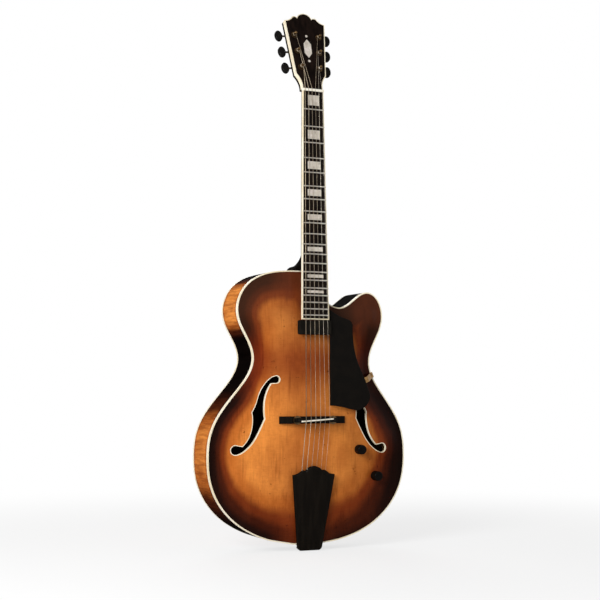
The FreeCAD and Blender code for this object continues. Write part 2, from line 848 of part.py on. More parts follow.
def half_oval(half, depth, y, top):
    angles = [math.pi + math.pi * i / 10 for i in range(11)]
    under = [V(half * math.cos(a), y, top + depth * math.sin(a)) for a in angles]
    curve = Part.BSplineCurve()
    curve.interpolate(Points=under, InitialTangent=V(0, 0, -1), FinalTangent=V(0, 0, 1))
    return Part.Wire([curve.toShape(), Part.LineSegment(under[-1], under[0]).toShape()])


def shaft():
    start = NECK_HEAD_OVERLAP
    end = -NUT_TO_BODY - NECK_BODY_OVERLAP
    near = half_oval(board_half(start) - NECK_HEAD_INSET, NECK_DEPTH_AT_NUT, start, -BOARD_THICKNESS)
    far = half_oval(board_half(-NUT_TO_BODY), NECK_DEPTH_AT_BODY, end, -BOARD_THICKNESS)
    return put(Part.makeLoft([near, far], True, True), NECK)


def heel_slice(half, reach, z):
    angles = [math.pi * i / 10 for i in range(11)]
    bow = [V(half * math.cos(a), BODY_LENGTH + reach * math.sin(a), z) for a in angles]
    curve = Part.BSplineCurve()
    curve.interpolate(Points=bow, InitialTangent=V(0, 1, 0), FinalTangent=V(0, -1, 0))
    return Part.Wire([curve.toShape(), Part.LineSegment(bow[-1], bow[0]).toShape()])


def heel():
    high = TOP + BOARD_HEIGHT_AT_BODY - BOARD_THICKNESS - NECK_DEPTH_AT_BODY / 2
    low = BACK + HEEL_CAP_LIFT
    slices = []
    for i in range(6):
        share = i / 5
        half = HEEL_HALF + (HEEL_CAP_WIDTH / 2 - HEEL_HALF) * share
        reach = HEEL_CAP_LENGTH + HEEL_SWEEP * (1 - share) ** 3
        slices.append(heel_slice(half, reach, high + (low - high) * share))
    return Part.makeLoft(slices, True, False)


def head_outline():
    top = HEAD_UPPER_AT
    lobe = V(HEAD_LOBE, top + HEAD_LOBE_RISE, 0)
    notch = V(HEAD_NOTCH, top + HEAD_NOTCH_RISE, 0)
    tip = V(HEAD_UPPER_HALF, top, 0)
    turn_at = (HEAD_LOBE + HEAD_UPPER_HALF) / 2 - HEAD_TURN_INSET
    turn = V(turn_at, top + HEAD_LOBE_RISE * HEAD_TURN_SHARE, 0)
    hollow = V((turn.x + tip.x) / 2, top + HEAD_LOBE_RISE * HEAD_HOLLOW_SHARE, 0)
    low = V(HEAD_LOWER_HALF, HEAD_LOWER_AT, 0)
    foot = V(NUT_WIDTH / 2, 0, 0)
    sweep = V(NUT_WIDTH / 2 + HEAD_SWEEP_OUT, HEAD_LOWER_AT * HEAD_SWEEP_SHARE, 0)
    dome = V(0, top + HEAD_DOME_RISE, 0)
    return [
        ("line", opposite(foot) + [foot]),
        ("arc", [foot, sweep, low]),
        ("line", [low, tip]),
        ("arc", [tip, hollow, turn]),
        ("arc", [turn, lobe, notch]),
        ("arc", [notch, dome] + opposite(notch)),
        ("arc", opposite(notch, lobe, turn)),
        ("arc", opposite(turn, hollow, tip)),
        ("line", opposite(tip, low)),
        ("arc", opposite(low, sweep, foot)),
    ]


HEADSTOCK = head_outline()


def tuner_spots():
    spots = []
    taper = (HEAD_UPPER_HALF - HEAD_LOWER_HALF) / (HEAD_UPPER_AT - HEAD_LOWER_AT)
    for row in (0, 1, 2, 2, 1, 0):
        side = -1 if len(spots) < 3 else 1
        y = TUNER_FIRST_AT + TUNER_PITCH * row
        x = HEAD_LOWER_HALF + taper * (y - HEAD_LOWER_AT) - POST_INSET
        turn = FreeCAD.Rotation(UP, -side * math.degrees(math.atan(taper)))
        spots.append((side, FreeCAD.Placement(V(side * x, y, 0), turn)))
    return spots


TUNERS = tuner_spots()


def at_tuner(number, shape):
    side, spot = TUNERS[number]
    handed = mirrored(shape) if side < 0 else shape
    return put(handed, HEAD.multiply(spot))


def nut_space():
    return put(box(-NUT_WIDTH, NUT_WIDTH, -CUT_SPARE, NUT_THICKNESS, -BOARD_THICKNESS, CUT_REACH), NECK)


def post_holes(radius):
    bore = Part.makeCylinder(radius, HEAD_THICKNESS + 2 * CUT_SPARE, V(0, 0, -HEAD_THICKNESS - CUT_SPARE))
    return [at_tuner(i, bore) for i in range(6)]


def rod_ends():
    depth = -BOARD_THICKNESS - ROD_DEPTH
    return V(0, EXTENSION_SETBACK - BOARD_LENGTH, depth), V(0, -ROD_NUT_SETBACK, depth)


def rod_channel():
    start, end = rod_ends()
    behind = start - V(0, CUT_SPARE, 0)
    slot = box(-ROD_RADIUS, ROD_RADIUS, behind.y, end.y, end.z, 0)
    nut_room = round_bar(start, start - V(0, ROD_NUT_LENGTH + CUT_SPARE, 0), ROD_NUT_RADIUS + RUN_GAP)
    return put(slot.fuse([round_bar(behind, end, ROD_RADIUS), nut_room]), NECK)


def make_neck():
    blank = joined([shaft(), heel()])
    blank = blank.cut(box(-CUT_REACH, CUT_REACH, 0, BODY_LENGTH, BACK - CUT_REACH, TOP + CUT_REACH))
    extension = box(
        -EXTENSION_WIDTH / 2, EXTENSION_WIDTH / 2,
        EXTENSION_SETBACK - BOARD_LENGTH, EXTENSION_OVERLAP - NUT_TO_BODY,
        -BOARD_THICKNESS - EXTENSION_DEPTH, -BOARD_THICKNESS,
    )
    wood = prism(HEADSTOCK, -HEAD_THICKNESS, -OVERLAY_THICKNESS)
    rebate = prism(HEADSTOCK, -HEAD_BINDING_HEIGHT, CUT_SPARE)
    rebate = rebate.cut(prism(inset_head(), -HEAD_BINDING_HEIGHT - CUT_SPARE, 2 * CUT_SPARE))
    lid = box(-CUT_REACH, CUT_REACH, 0, CUT_REACH, -OVERLAY_THICKNESS, CUT_REACH)
    neck = joined([blank, put(extension, NECK), put(wood, HEAD), TENON])
    neck = neck.cut([put(rebate, HEAD), put(lid, HEAD), rod_channel(), nut_space()])
    return neck.cut(post_holes(BUSHING_SLEEVE) + TUNER_SCREWS)


def inset_head():
    bottom = inset(HEADSTOCK, HEAD_BINDING_WIDTH)
    foot = [V(p.x, 0, 0) for p in bottom[0][1]]
    right = (bottom[1][0], [foot[1]] + bottom[1][1][1:])
    left = (bottom[-1][0], bottom[-1][1][:-1] + [foot[0]])
    return [("line", foot), right] + bottom[2:-1] + [left]


def make_truss_rod():
    start, end = rod_ends()
    nut = hex_bar(start, start - V(0, ROD_NUT_LENGTH, 0), ROD_NUT_RADIUS)
    return put(joined([round_bar(start, end, ROD_RADIUS), nut]), NECK)


def inlay_shapes():
    middle = (HEAD_LOWER_AT + HEAD_UPPER_AT) / 2
    half = HEAD_INLAY_HALF_LENGTH
    width = HEAD_INLAY_HALF_WIDTH
    hexagon = polygon(
        (0, middle - half), (width, middle - half / 2), (width, middle + half / 2),
        (0, middle + half), (-width, middle + half / 2), (-width, middle - half / 2),
    )
    low = -HEAD_INLAY_DEPTH
    shapes = [prism(hexagon, low, 0)]
    for sign in (-1, 1):
        centre = V(0, middle + sign * (half + HEAD_INLAY_DOT_GAP), low)
        shapes.append(Part.makeCylinder(HEAD_INLAY_DOT_RADIUS, HEAD_INLAY_DEPTH, centre))
    return shapes


def make_overlay():
    plate = prism(inset_head(), -OVERLAY_THICKNESS, 0).cut(inlay_shapes())
    return put(plate, HEAD).cut(post_holes(BUSHING_SLEEVE) + [nut_space()])


def make_head_binding():
    core = prism(inset_head(), -HEAD_BINDING_HEIGHT - CUT_SPARE, CUT_SPARE)
    return put(prism(HEADSTOCK, -HEAD_BINDING_HEIGHT, 0).cut(core), HEAD).cut(nut_space())


def make_nut():
    low = -BOARD_THICKNESS
    far = NUT_THICKNESS
    profile = [(0, low), (far, low), (far, NUT_BACK_STAND), (NUT_CREST, NUT_STAND), (0, NUT_STAND)]
    side = [V(0, y, z) for y, z in profile]
    face = Part.Face(Part.makePolygon(side + side[:1]))
    face.translate(V(-NUT_WIDTH / 2, 0, 0))
    block = face.extrude(V(NUT_WIDTH, 0, 0)).common(camber(BOARD_RADIUS + NUT_STAND))
    return put(block, NECK).cut([string_slot(i) for i in range(6)])


# Strings
def string_radius(i):
    return STRING_DIAMETERS[i] / 2


def string_share(i):
    return i / 5 - 0.5


def drop(x):
    return math.sqrt(BOARD_RADIUS ** 2 - x ** 2) - BOARD_RADIUS


def saddle_top(i):
    x = SADDLE_SPREAD * string_share(i)
    y = -SCALE + INSERT_SLANT * x / INSERT_LENGTH
    return NECK.multVec(V(x, y, SADDLE_ACTION + drop(x)))


def saddle_point(i):
    return saddle_top(i) + UP * (string_radius(i) + STRING_SADDLE_GAP)


def nut_point(i):
    x = NUT_SPREAD * string_share(i)
    y = NUT_THICKNESS + NUT_BREAK
    return NECK.multVec(V(x, y, NUT_ACTION + drop(x) + string_radius(i)))


def tail_point(i):
    x = SADDLE_SPREAD * string_share(i)
    return TAILPIECE.multVec(V(x, STRING_POCKET_AT + STRING_POCKET_LENGTH, -STRING_ENTRY_DEPTH))


def string_slot(i):
    half = string_radius(i) + STRING_SIDE_GAP
    x = NUT_SPREAD * string_share(i)
    low = NUT_ACTION + drop(x) - STRING_SEAT_GAP
    return put(box(x - half, x + half, -CUT_SPARE, NUT_THICKNESS + CUT_SPARE, low, CUT_REACH), NECK)


def bend(before, corner, after):
    coming = (corner - before).normalize()
    going = (after - corner).normalize()
    half = coming.getAngle(going) / 2
    reach = BEND_RADIUS * math.tan(half)
    middle = corner + (going - coming).normalize() * (BEND_RADIUS * (1 / math.cos(half) - 1))
    return [corner - coming * reach, middle, corner + going * reach]


def arc_from(start, way, end):
    chord = end - start
    angle = way.getAngle(chord)
    rise = chord.Length / 2 * math.tan(angle / 2)
    side = way - chord * (way.dot(chord) / chord.dot(chord))
    middle = (start + end) * 0.5 + side.normalize() * rise
    return Part.Arc(start, middle, end).toShape()


def biarc(start, way, end, end_way):
    span = end - start
    both = way + end_way
    spread = 2 * (1 - way.dot(end_way))
    reach = (math.sqrt(span.dot(both) ** 2 + spread * span.dot(span)) - span.dot(both)) / spread
    middle = (start + way * reach + end - end_way * reach) * 0.5
    return [arc_from(start, way, middle), arc_from(middle, middle - start - way * reach, end)]


def wrap_points(i, start):
    side, spot = TUNERS[i]
    radius = POST_RADIUS + string_radius(i) + WRAP_POST_GAP
    centre = spot.Base
    here = HEAD.inverse().multVec(start)
    flat = V(centre.x - here.x, centre.y - here.y, 0)
    aim = math.atan2(flat.y, flat.x) + side * math.asin(radius / flat.Length)
    run = math.sqrt(flat.Length ** 2 - radius ** 2)
    touch = V(here.x + run * math.cos(aim) - centre.x, here.y + run * math.sin(aim) - centre.y, 0)
    first = math.atan2(touch.y, touch.x)
    pitch = STRING_DIAMETERS[i] + WRAP_GAP
    low = BUSHING_HEIGHT + string_radius(i) + WRAP_LIFTS[min(i, 5 - i)]
    quarters = WRAP_QUARTERS_WOUND if i < WOUND_COUNT else WRAP_QUARTERS_PLAIN
    spots = []
    for q in range(quarters + 1):
        angle = first - side * q * math.pi / 2
        spoke = V(radius * math.cos(angle), radius * math.sin(angle), 0)
        place = V(centre.x, centre.y, low + pitch * q / 4) + spoke
        way = V(side * math.sin(angle), -side * math.cos(angle), pitch / (2 * math.pi * radius))
        spots.append((HEAD.multVec(place), HEAD.Rotation.multVec(way.normalize())))
    return spots


def string_wire(i):
    tail = tail_point(i)
    saddle = saddle_point(i)
    way_out = (saddle - tail).normalize()
    start = tail - way_out * (BALL_LENGTH / 2)
    nut = nut_point(i)
    spots = wrap_points(i, nut)
    at_saddle = bend(tail, saddle, nut)
    at_nut = bend(saddle, nut, spots[0][0])
    edges = [
        Part.LineSegment(start, at_saddle[0]).toShape(),
        Part.Arc(*at_saddle).toShape(),
        Part.LineSegment(at_saddle[2], at_nut[0]).toShape(),
        Part.Arc(*at_nut).toShape(),
        Part.LineSegment(at_nut[2], spots[0][0]).toShape(),
    ]
    arrival = (spots[0][0] - at_nut[2]).normalize()
    ways = [arrival] + [w for p, w in spots[1:]]
    turns = []
    for (a, b, way, end_way) in zip(spots, spots[1:], ways, ways[1:]):
        turns += biarc(a[0], way, b[0], end_way)
    report_wrap_gap(i, turns)
    return Part.Wire(edges + turns), start, way_out


def report_wrap_gap(i, turns):
    steps = 6
    points = [p for e in turns for p in e.discretize(Number=steps + 1)[:-1]]
    next_turn = 7 * steps
    least = min((p - q).Length for k, p in enumerate(points) for q in points[k + next_turn:])
    print("string", i + 1, "least gap to itself", round(least - STRING_DIAMETERS[i], 3))


def make_string(i):
    path, start, way = string_wire(i)
    ring_edge = Part.Circle(start, way, string_radius(i)).toShape()
    tube = path.makePipeShell([Part.Wire([ring_edge])], True, False)
    ball = Part.makeCylinder(BALL_RADIUS, BALL_LENGTH, tail_point(i) - way * BALL_GAP, way * -1)
    return tube.fuse(ball).removeSplitter()


# Tuners
WORM_LEVEL = -HEAD_THICKNESS - WORM_DROP
EDGE_REACH = POST_INSET + BUTTON_GAP
HOUSING_HALF = WHEEL_RADIUS + HOUSING_GAP + HOUSING_WALL
HOUSING_FAR = WORM_OFFSET + WORM_THREAD_AT + WORM_THREAD_RADIUS + HOUSING_GAP + HOUSING_WALL
WORM_START = V(-HOUSING_HALF + HOUSING_WALL / 2, WORM_OFFSET, WORM_LEVEL)
WORM_END = V(EDGE_REACH + BUTTON_SOCKET, WORM_OFFSET, WORM_LEVEL)


def worm_point(angle):
    x = -WORM_PITCH * WORM_TURNS / 2 + WORM_PITCH * angle / (2 * math.pi)
    return V(x, WORM_OFFSET + WORM_THREAD_AT * math.cos(angle), WORM_LEVEL + WORM_THREAD_AT * math.sin(angle))


def worm_way(angle):
    along = WORM_PITCH / (2 * math.pi * WORM_THREAD_AT)
    return V(along, -math.sin(angle), math.cos(angle)).normalize()


def make_worm():
    core = round_bar(WORM_START, WORM_END, WORM_SHAFT_RADIUS)
    angles = [math.pi / 2 * i for i in range(4 * WORM_TURNS + 1)]
    edges = []
    for a, b in zip(angles, angles[1:]):
        edges += biarc(worm_point(a), worm_way(a), worm_point(b), worm_way(b))
    profile = Part.Circle(worm_point(0), worm_way(0), WORM_THREAD_RADIUS).toShape()
    thread = Part.Wire(edges).makePipeShell([Part.Wire([profile])], True, False)
    return core.fuse(thread)


def make_post():
    foot = WORM_LEVEL - WHEEL_HEIGHT / 2
    stem = Part.makeCylinder(POST_RADIUS, POST_TOP - foot, V(0, 0, foot))
    rims = [e for e in stem.Edges if e.CenterOfMass.z > POST_TOP - POST_CHAMFER]
    stem = stem.makeChamfer(POST_CHAMFER, rims)
    gear = Part.makeCylinder(WHEEL_RADIUS, WHEEL_HEIGHT, V(0, 0, foot))
    low = V(WHEEL_RADIUS, 0, foot - CUT_SPARE)
    notch = Part.makeCylinder(WHEEL_NOTCH_RADIUS, WHEEL_HEIGHT + 2 * CUT_SPARE, low)
    notches = []
    for i in range(WHEEL_TEETH):
        cut = notch.copy()
        cut.rotate(V(0, 0, 0), UP, 360 * i / WHEEL_TEETH)
        notches.append(cut)
    bore = round_bar(V(-CUT_REACH, 0, POST_HOLE_AT), V(CUT_REACH, 0, POST_HOLE_AT), POST_HOLE_RADIUS)
    return joined([stem, gear.cut(notches)]).cut(bore)


def make_bushing():
    washer = Part.makeCylinder(BUSHING_RADIUS, BUSHING_WASHER)
    nut = hex_bar(V(0, 0, 0), V(0, 0, BUSHING_HEIGHT), BUSHING_NUT_RADIUS)
    sleeve = Part.makeCylinder(BUSHING_SLEEVE, BUSHING_DEPTH, V(0, 0, -BUSHING_DEPTH))
    bore = Part.makeCylinder(POST_RADIUS + RUN_GAP, 2 * CUT_REACH, V(0, 0, -CUT_REACH))
    return joined([washer, nut, sleeve]).cut(bore)


def make_housing():
    top = -HEAD_THICKNESS
    low = top - HOUSING_HEIGHT
    wall = HOUSING_WALL
    half = HOUSING_HALF
    far = HOUSING_FAR
    shell = box(-half, half, -half, far, low, top)
    shell = shell.makeFillet(HOUSING_ROUNDING, [e for e in shell.Edges if e.CenterOfMass.z < top - wall])
    hollow = box(wall - half, half - wall, wall - half, far - wall, low + wall, top)
    side = LUG_WIDTH / 2
    lug = box(-side, side, -half - LUG_LENGTH, LUG_LAP - half, top - LUG_THICKNESS, top)
    shaft_hole = round_bar(WORM_START - V(RUN_GAP, 0, 0), WORM_END, WORM_SHAFT_RADIUS + RUN_GAP)
    return joined([shell, lug]).cut([hollow, shaft_hole])


def make_button():
    outline = Part.Ellipse(V(0, 0, 0), BUTTON_WIDTH / 2, BUTTON_LENGTH / 2).toShape()
    body = Part.Face(Part.Wire([outline])).extrude(UP * BUTTON_THICKNESS)
    body = body.makeFillet(BUTTON_ROUNDING, [e for e in body.Edges if len(e.Vertexes) == 1])
    body.rotate(V(0, 0, 0), UP, 90)
    body.translate(V(EDGE_REACH + BUTTON_LENGTH / 2, WORM_OFFSET, WORM_LEVEL - BUTTON_THICKNESS / 2))
    return body.cut(round_bar(WORM_START, WORM_END, WORM_SHAFT_RADIUS))


# Tailpiece and jack
def tailpiece_outline():
    end = -TAILPIECE_OVERHANG
    half = TAILPIECE_END_HALF
    corner = TAILPIECE_CORNER
    near = corner * (1 - math.sqrt(0.5))
    top = TAILPIECE_SHOULDER_AT
    shoulder = V(TAILPIECE_SHOULDER_HALF, top, 0)
    crest = (TAILPIECE_HOLLOW, TAILPIECE_TURN, TAILPIECE_LOBE, TAILPIECE_NOTCH)
    hollow, turn, lobe, notch = points_of(*[(x, top + rise) for x, rise in crest])
    dome = V(0, top + TAILPIECE_DOME_RISE, 0)
    foot = V(half - corner, end, 0)
    knee = V(half - near, end + near, 0)
    side = V(half, end + corner, 0)
    return [
        ("line", opposite(foot) + [foot]),
        ("arc", [foot, knee, side]),
        ("line", [side, shoulder]),
        ("arc", [shoulder, hollow, turn]),
        ("arc", [turn, lobe, notch]),
        ("arc", [notch, dome] + opposite(notch)),
        ("arc", opposite(notch, lobe, turn)),
        ("arc", opposite(turn, hollow, shoulder)),
        ("line", opposite(shoulder, side)),
        ("arc", opposite(side, knee, foot)),
    ]


def string_bores():
    bores = []
    for i in range(6):
        tail = tail_point(i)
        way = (saddle_point(i) - tail).normalize()
        bores.append(round_bar(tail - way, tail + way * CUT_REACH, string_radius(i) + STRING_HOLE_GAP))
    return bores


def make_tailpiece():
    plate = bevelled(tailpiece_outline(), -TAILPIECE_THICKNESS, 0, TAILPIECE_BEVEL)
    pocket = box(
        -STRING_POCKET_HALF, STRING_POCKET_HALF,
        STRING_POCKET_AT, STRING_POCKET_AT + STRING_POCKET_LENGTH,
        -TAILPIECE_THICKNESS - CUT_SPARE, -STRING_POCKET_ROOF,
    )
    return put(plate.cut(pocket), TAILPIECE).cut(string_bores() + TAILPIECE_SCREWS)


def make_tailpiece_bracket():
    flange = put(
        box(
            -BRACKET_HALF_WIDTH, BRACKET_HALF_WIDTH, BRACKET_INSET - TAILPIECE_OVERHANG, 0,
            -TAILPIECE_THICKNESS - BRACKET_THICKNESS, -TAILPIECE_THICKNESS,
        ),
        TAILPIECE,
    )
    reach = CUT_REACH
    seat = -BRACKET_SEAT_GAP
    flange = flange.cut(box(-reach, reach, seat, reach, -TOP, TOP + reach))
    leg = box(-BRACKET_HALF_WIDTH, BRACKET_HALF_WIDTH, -BRACKET_THICKNESS, seat, -BRACKET_TAIL, TOP + reach)
    over = put(box(-reach, reach, -reach, reach, -TAILPIECE_THICKNESS, 2 * reach), TAILPIECE)
    return joined([flange, leg.cut(over)]).cut([jack_hole()] + TAILPIECE_SCREWS)


def make_jack():
    base = BRACKET_THICKNESS
    profile = [
        (0, 0), (JACK_CAP_RADIUS, 0), (JACK_CAP_RADIUS, JACK_FLANGE),
        (JACK_GROOVE_RADIUS, JACK_GROOVE_FROM), (JACK_GROOVE_RADIUS, JACK_GROOVE_TO),
        (JACK_CAP_RADIUS, JACK_STAND - JACK_ROUNDING), (JACK_CAP_RADIUS - JACK_ROUNDING, JACK_STAND),
        (0, JACK_STAND),
    ]
    points = [V(radius, -base - out, 0) for radius, out in profile]
    cap = Part.Face(Part.makePolygon(points + points[:1])).revolve(V(0, 0, 0), V(0, 1, 0), 360)
    barrel = round_bar(V(0, -base, 0), V(0, JACK_BORE_LENGTH, 0), JACK_BODY_RADIUS)
    mouth = V(0, -base - JACK_STAND - CUT_SPARE, 0)
    bore = round_bar(mouth, V(0, JACK_BORE_LENGTH - JACK_FLOOR, 0), JACK_BORE_RADIUS)
    return joined([cap, barrel]).cut(bore)


# Bridge
def make_bridge_base():
    half = BASE_LENGTH / 2
    end_top = top_height(half, BRIDGE_AT) + BASE_END_THICKNESS
    crown = TOP + BASE_CROWN
    shoulder = BRIDGE_POST_SPREAD / 2 + WHEEL_NUT_RADIUS + BASE_SHOULDER_MARGIN
    span = BASE_ARCH_SPAN / 2
    foot = span + BASE_ARCH_SLOPE
    under = TOP + TOP_ARCH + BASE_ARCH_RISE
    right = [(span, under), (foot, TOP), (half, TOP), (half, end_top), (shoulder, crown)]
    left = [(-x, z) for x, z in reversed(right)]
    corners = [V(x, BRIDGE_AT - BASE_WIDTH / 2, z) for x, z in right + left]
    face = Part.Face(Part.makePolygon(corners + corners[:1]))
    blank = face.extrude(V(0, BASE_WIDTH, 0))
    return blank.cut([BELOW_TOP] + post_bars(BRIDGE_POST_RADIUS, BRIDGE_POST_TOP))


def post_bars(radius, top):
    low = TOP + BASE_CROWN - BRIDGE_POST_SINK
    high = TOP + top
    offset = BRIDGE_POST_SPREAD / 2
    return [round_bar(V(x, BRIDGE_AT, low), V(x, BRIDGE_AT, high), radius) for x in (-offset, offset)]


def make_thumbwheel(side):
    low = TOP + BASE_CROWN + WHEEL_NUT_LIFT
    x = side * BRIDGE_POST_SPREAD / 2
    disc = Part.makeCylinder(WHEEL_NUT_RADIUS, WHEEL_NUT_HEIGHT, V(x, BRIDGE_AT, low))
    notches = []
    for i in range(WHEEL_NUT_NOTCHES):
        angle = 2 * math.pi * i / WHEEL_NUT_NOTCHES
        away = V(math.cos(angle), math.sin(angle), 0) * WHEEL_NUT_RADIUS
        spot = V(x, BRIDGE_AT, low - CUT_SPARE) + away
        notches.append(Part.makeCylinder(WHEEL_NUT_NOTCH_RADIUS, WHEEL_NUT_HEIGHT + 2 * CUT_SPARE, spot))
    bore = Part.makeCylinder(BRIDGE_POST_RADIUS + RUN_GAP, CUT_REACH, V(x, BRIDGE_AT, low - CUT_SPARE))
    return disc.cut(notches + [bore])


def insert_box(low, high):
    half = INSERT_LENGTH / 2
    block = box(-half, half, -INSERT_WIDTH / 2, INSERT_WIDTH / 2, low, high)
    block.rotate(V(0, 0, 0), UP, math.degrees(math.atan(INSERT_SLANT / INSERT_LENGTH)))
    return put(block, FreeCAD.Placement(V(0, -SCALE, 0), FreeCAD.Rotation()))


def insert_shape():
    seat = SADDLE_ACTION - INSERT_STAND - INSERT_DEPTH
    blade = insert_box(seat, SADDLE_ACTION + CUT_SPARE).common(crown_bar(SADDLE_ACTION))
    long_edges = [e for e in blade.Edges if e.Length > INSERT_LENGTH / 2]
    crest = [e for e in long_edges if e.CenterOfMass.z > SADDLE_ACTION - INSERT_STAND]
    return put(blade.makeChamfer(INSERT_BEVEL, crest), NECK)


def crown_bar(level):
    start = V(0, -SCALE - CUT_REACH, level - BOARD_RADIUS)
    return Part.makeCylinder(BOARD_RADIUS, 2 * CUT_REACH, start, V(0, 1, 0))


def make_saddle():
    half = SADDLE_LENGTH / 2
    low = TOP + BASE_CROWN + WHEEL_NUT_LIFT + WHEEL_NUT_HEIGHT
    side = SADDLE_WIDTH / 2
    block = box(-half, half, BRIDGE_AT - side, BRIDGE_AT + side, low, low + CUT_REACH)
    block = block.common(put(crown_bar(SADDLE_ACTION - INSERT_STAND), NECK))
    upright = [e for e in block.Edges if abs(e.tangentAt(e.FirstParameter).z) > 0.9]
    block = block.makeFillet(SADDLE_ROUNDING, upright)
    holes = post_bars(BRIDGE_POST_RADIUS + SADDLE_POST_GAP, CUT_REACH)
    return block.cut(holes + [insert_shape()])


# Pickguard, pickup and bracket
def guard_outline():
    bridge = BRIDGE_AT - BOARD_END.y
    left = GUARD_LEFT
    low = ((left, 27.9), (58, 25.4), (75, 21.4), (91, 17.6))
    low += ((102, 20.9), (112.5, 27.9), (119.2, 38.9), (119.6, 51.9))
    low = points_of(*[(x, bridge + y) for x, y in low])
    lobe = points_of((83, -11.5), (79.8, -2.7), (72, 1.8))
    upper = points_of((57, 7), (44, 13.5), (left, 20.5))
    bows = ((109, 0.212), (98.5, 0.379), (88, 0.606), (84.3, 0.78))
    rise = lobe[0].y - low[-1].y
    flank = [V(x, low[-1].y + rise * share, 0) for x, share in bows]
    return [
        ("curve", low[:4]),
        ("curve", low[3:]),
        ("curve", low[-1:] + flank + lobe[:1]),
        ("arc", lobe),
        ("curve", lobe[-1:] + upper),
        ("line", [upper[-1], low[0]]),
    ]


def make_guard():
    plate = bevelled(guard_outline(), -GUARD_THICKNESS, 0, GUARD_BEVEL)
    tab = box(
        EXTENSION_WIDTH / 2, GUARD_LEFT + GUARD_TAB_LAP,
        GUARD_TAB_FROM, GUARD_TAB_TO,
        -GUARD_THICKNESS, -GUARD_BEVEL,
    )
    return put(joined([plate, tab]), GUARD).cut(shaft())


PICKUP_TOP = -PICKUP_DROP
PICKUP_FAR = -BOARD_LENGTH - PICKUP_GAP


def pickup_block(margin, low, high):
    half = PICKUP_LENGTH / 2 - margin
    return box(-half, half, PICKUP_FAR - PICKUP_WIDTH + margin, PICKUP_FAR - margin, low, high)


def make_pickup_cover():
    shell = pickup_block(0, PICKUP_TOP - PICKUP_HEIGHT, PICKUP_TOP)
    shell = shell.makeFillet(PICKUP_CORNER, [e for e in shell.Edges if abs(e.tangentAt(0).z) > 0.9])
    rim = [e for e in shell.Edges if e.CenterOfMass.z > PICKUP_TOP - PICKUP_ROUNDING]
    shell = shell.makeFillet(PICKUP_ROUNDING, rim)
    shell = shell.cut(pickup_block(PICKUP_WALL, PICKUP_TOP - 2 * PICKUP_HEIGHT, PICKUP_TOP - PICKUP_WALL))
    half = PICKUP_LENGTH / 2
    side = PICKUP_EAR_WIDTH / 2
    middle = NECK.multVec(V(0, PICKUP_FAR - PICKUP_WIDTH / 2, 0)).y - BOARD_END.y
    low = -GUARD_THICKNESS - PICKUP_WALL
    ear = box(half - PICKUP_WALL / 2, half + PICKUP_EAR, middle - side, middle + side, low, -GUARD_THICKNESS)
    return joined([put(shell, NECK), put(ear, GUARD)])


def make_pickup_coil():
    block = pickup_block(PICKUP_WALL, PICKUP_TOP - PICKUP_HEIGHT, PICKUP_TOP - PICKUP_WALL)
    return put(block, NECK)


def rim_spot():
    height = BRIDGE_AT + GUARD_BRACKET_ABOVE_BRIDGE
    near = min([p for p in EDGE if p[0] > 0], key=lambda p: abs(p[1] - height))
    place = EDGE.index(near)
    ahead = EDGE[place + 1]
    behind = EDGE[place - 1]
    outward = V(ahead[1] - behind[1], behind[0] - ahead[0], 0).normalize()
    turn = FreeCAD.Rotation(V(1, 0, 0), outward)
    return FreeCAD.Placement(V(near[0], near[1], 0), turn)


RIM = rim_spot()


def rim_hollow():
    local = [RIM.inverse().multVec(V(x, y, 0)) for x, y in EDGE]
    return max(p.x for p in local if abs(p.y) < BRACKET_STRIP_WIDTH / 2)


def bracket_reach():
    guard = put(Part.Face(wire(guard_outline())), GUARD)
    rim = Part.Vertex(RIM.Base + UP * GUARD.Base.z)
    return guard.distToShape(rim)[0] + GUARD_BRACKET_LAP


GUARD_BRACKET_SEAT = rim_hollow() + 2 * SEAT_GAP


def guard_underside(point):
    return GUARD.Base.z - GUARD_THICKNESS - (point.y - GUARD.Base.y) * math.tan(GUARD_ANGLE * RADIANS)


def make_guard_bracket():
    t = BRACKET_STRIP_THICKNESS
    half = BRACKET_STRIP_WIDTH / 2
    reach = bracket_reach()
    high = guard_underside(RIM.multVec(V(-reach, 0, 0))) - 2 * SEAT_GAP
    knee = GUARD_BRACKET_FLAT - reach
    low = TOP + GUARD_BRACKET_LIFT
    foot = TOP - GUARD_BRACKET_LEG
    step = -GUARD_BRACKET_STEP
    seat = GUARD_BRACKET_SEAT
    under = [(seat, foot), (seat, low), (step, low), (knee, high - t), (-reach, high - t)]
    over = [(-reach, high), (knee, high), (step, low + t), (seat + t, low + t), (seat + t, foot)]
    points = [V(x, -half, z) for x, z in under + over]
    strip = Part.Face(Part.makePolygon(points + points[:1])).extrude(V(0, BRACKET_STRIP_WIDTH, 0))
    return put(strip, RIM).cut(GUARD_SCREW)


# Controls
def heights_round(at, radius):
    ways = ((1, 0), (0, 1), (-1, 0), (0, -1))
    return [top_height(at[0] + radius * x, at[1] + radius * y) for x, y in ways]


def knob_floor(at):
    return max(heights_round(at, KNOB_RADIUS)) + KNOB_LIFT


def upright(at, radius, low, high):
    return Part.makeCylinder(radius, high - low, V(at[0], at[1], low))


def make_knob(at):
    low = knob_floor(at)
    mid = low + KNOB_SKIRT
    high = low + KNOB_HEIGHT
    crown = Part.makeCone(KNOB_RADIUS, KNOB_TOP_RADIUS, high - mid, V(at[0], at[1], mid))
    body = joined([upright(at, KNOB_RADIUS, low, mid), crown])
    body = body.makeFillet(KNOB_ROUNDING, [e for e in body.Edges if e.CenterOfMass.z > high - KNOB_ROUNDING])
    return body.cut(upright(at, POT_SHAFT_RADIUS, low - CUT_SPARE, low + KNOB_SOCKET))


def pot_seat(at):
    return min(heights_round(at, POT_RADIUS)) - TOP_THICKNESS


def make_pot_shaft(at):
    return upright(at, POT_SHAFT_RADIUS, pot_seat(at) - POT_HEIGHT + POT_FLOOR, knob_floor(at) + KNOB_SOCKET)


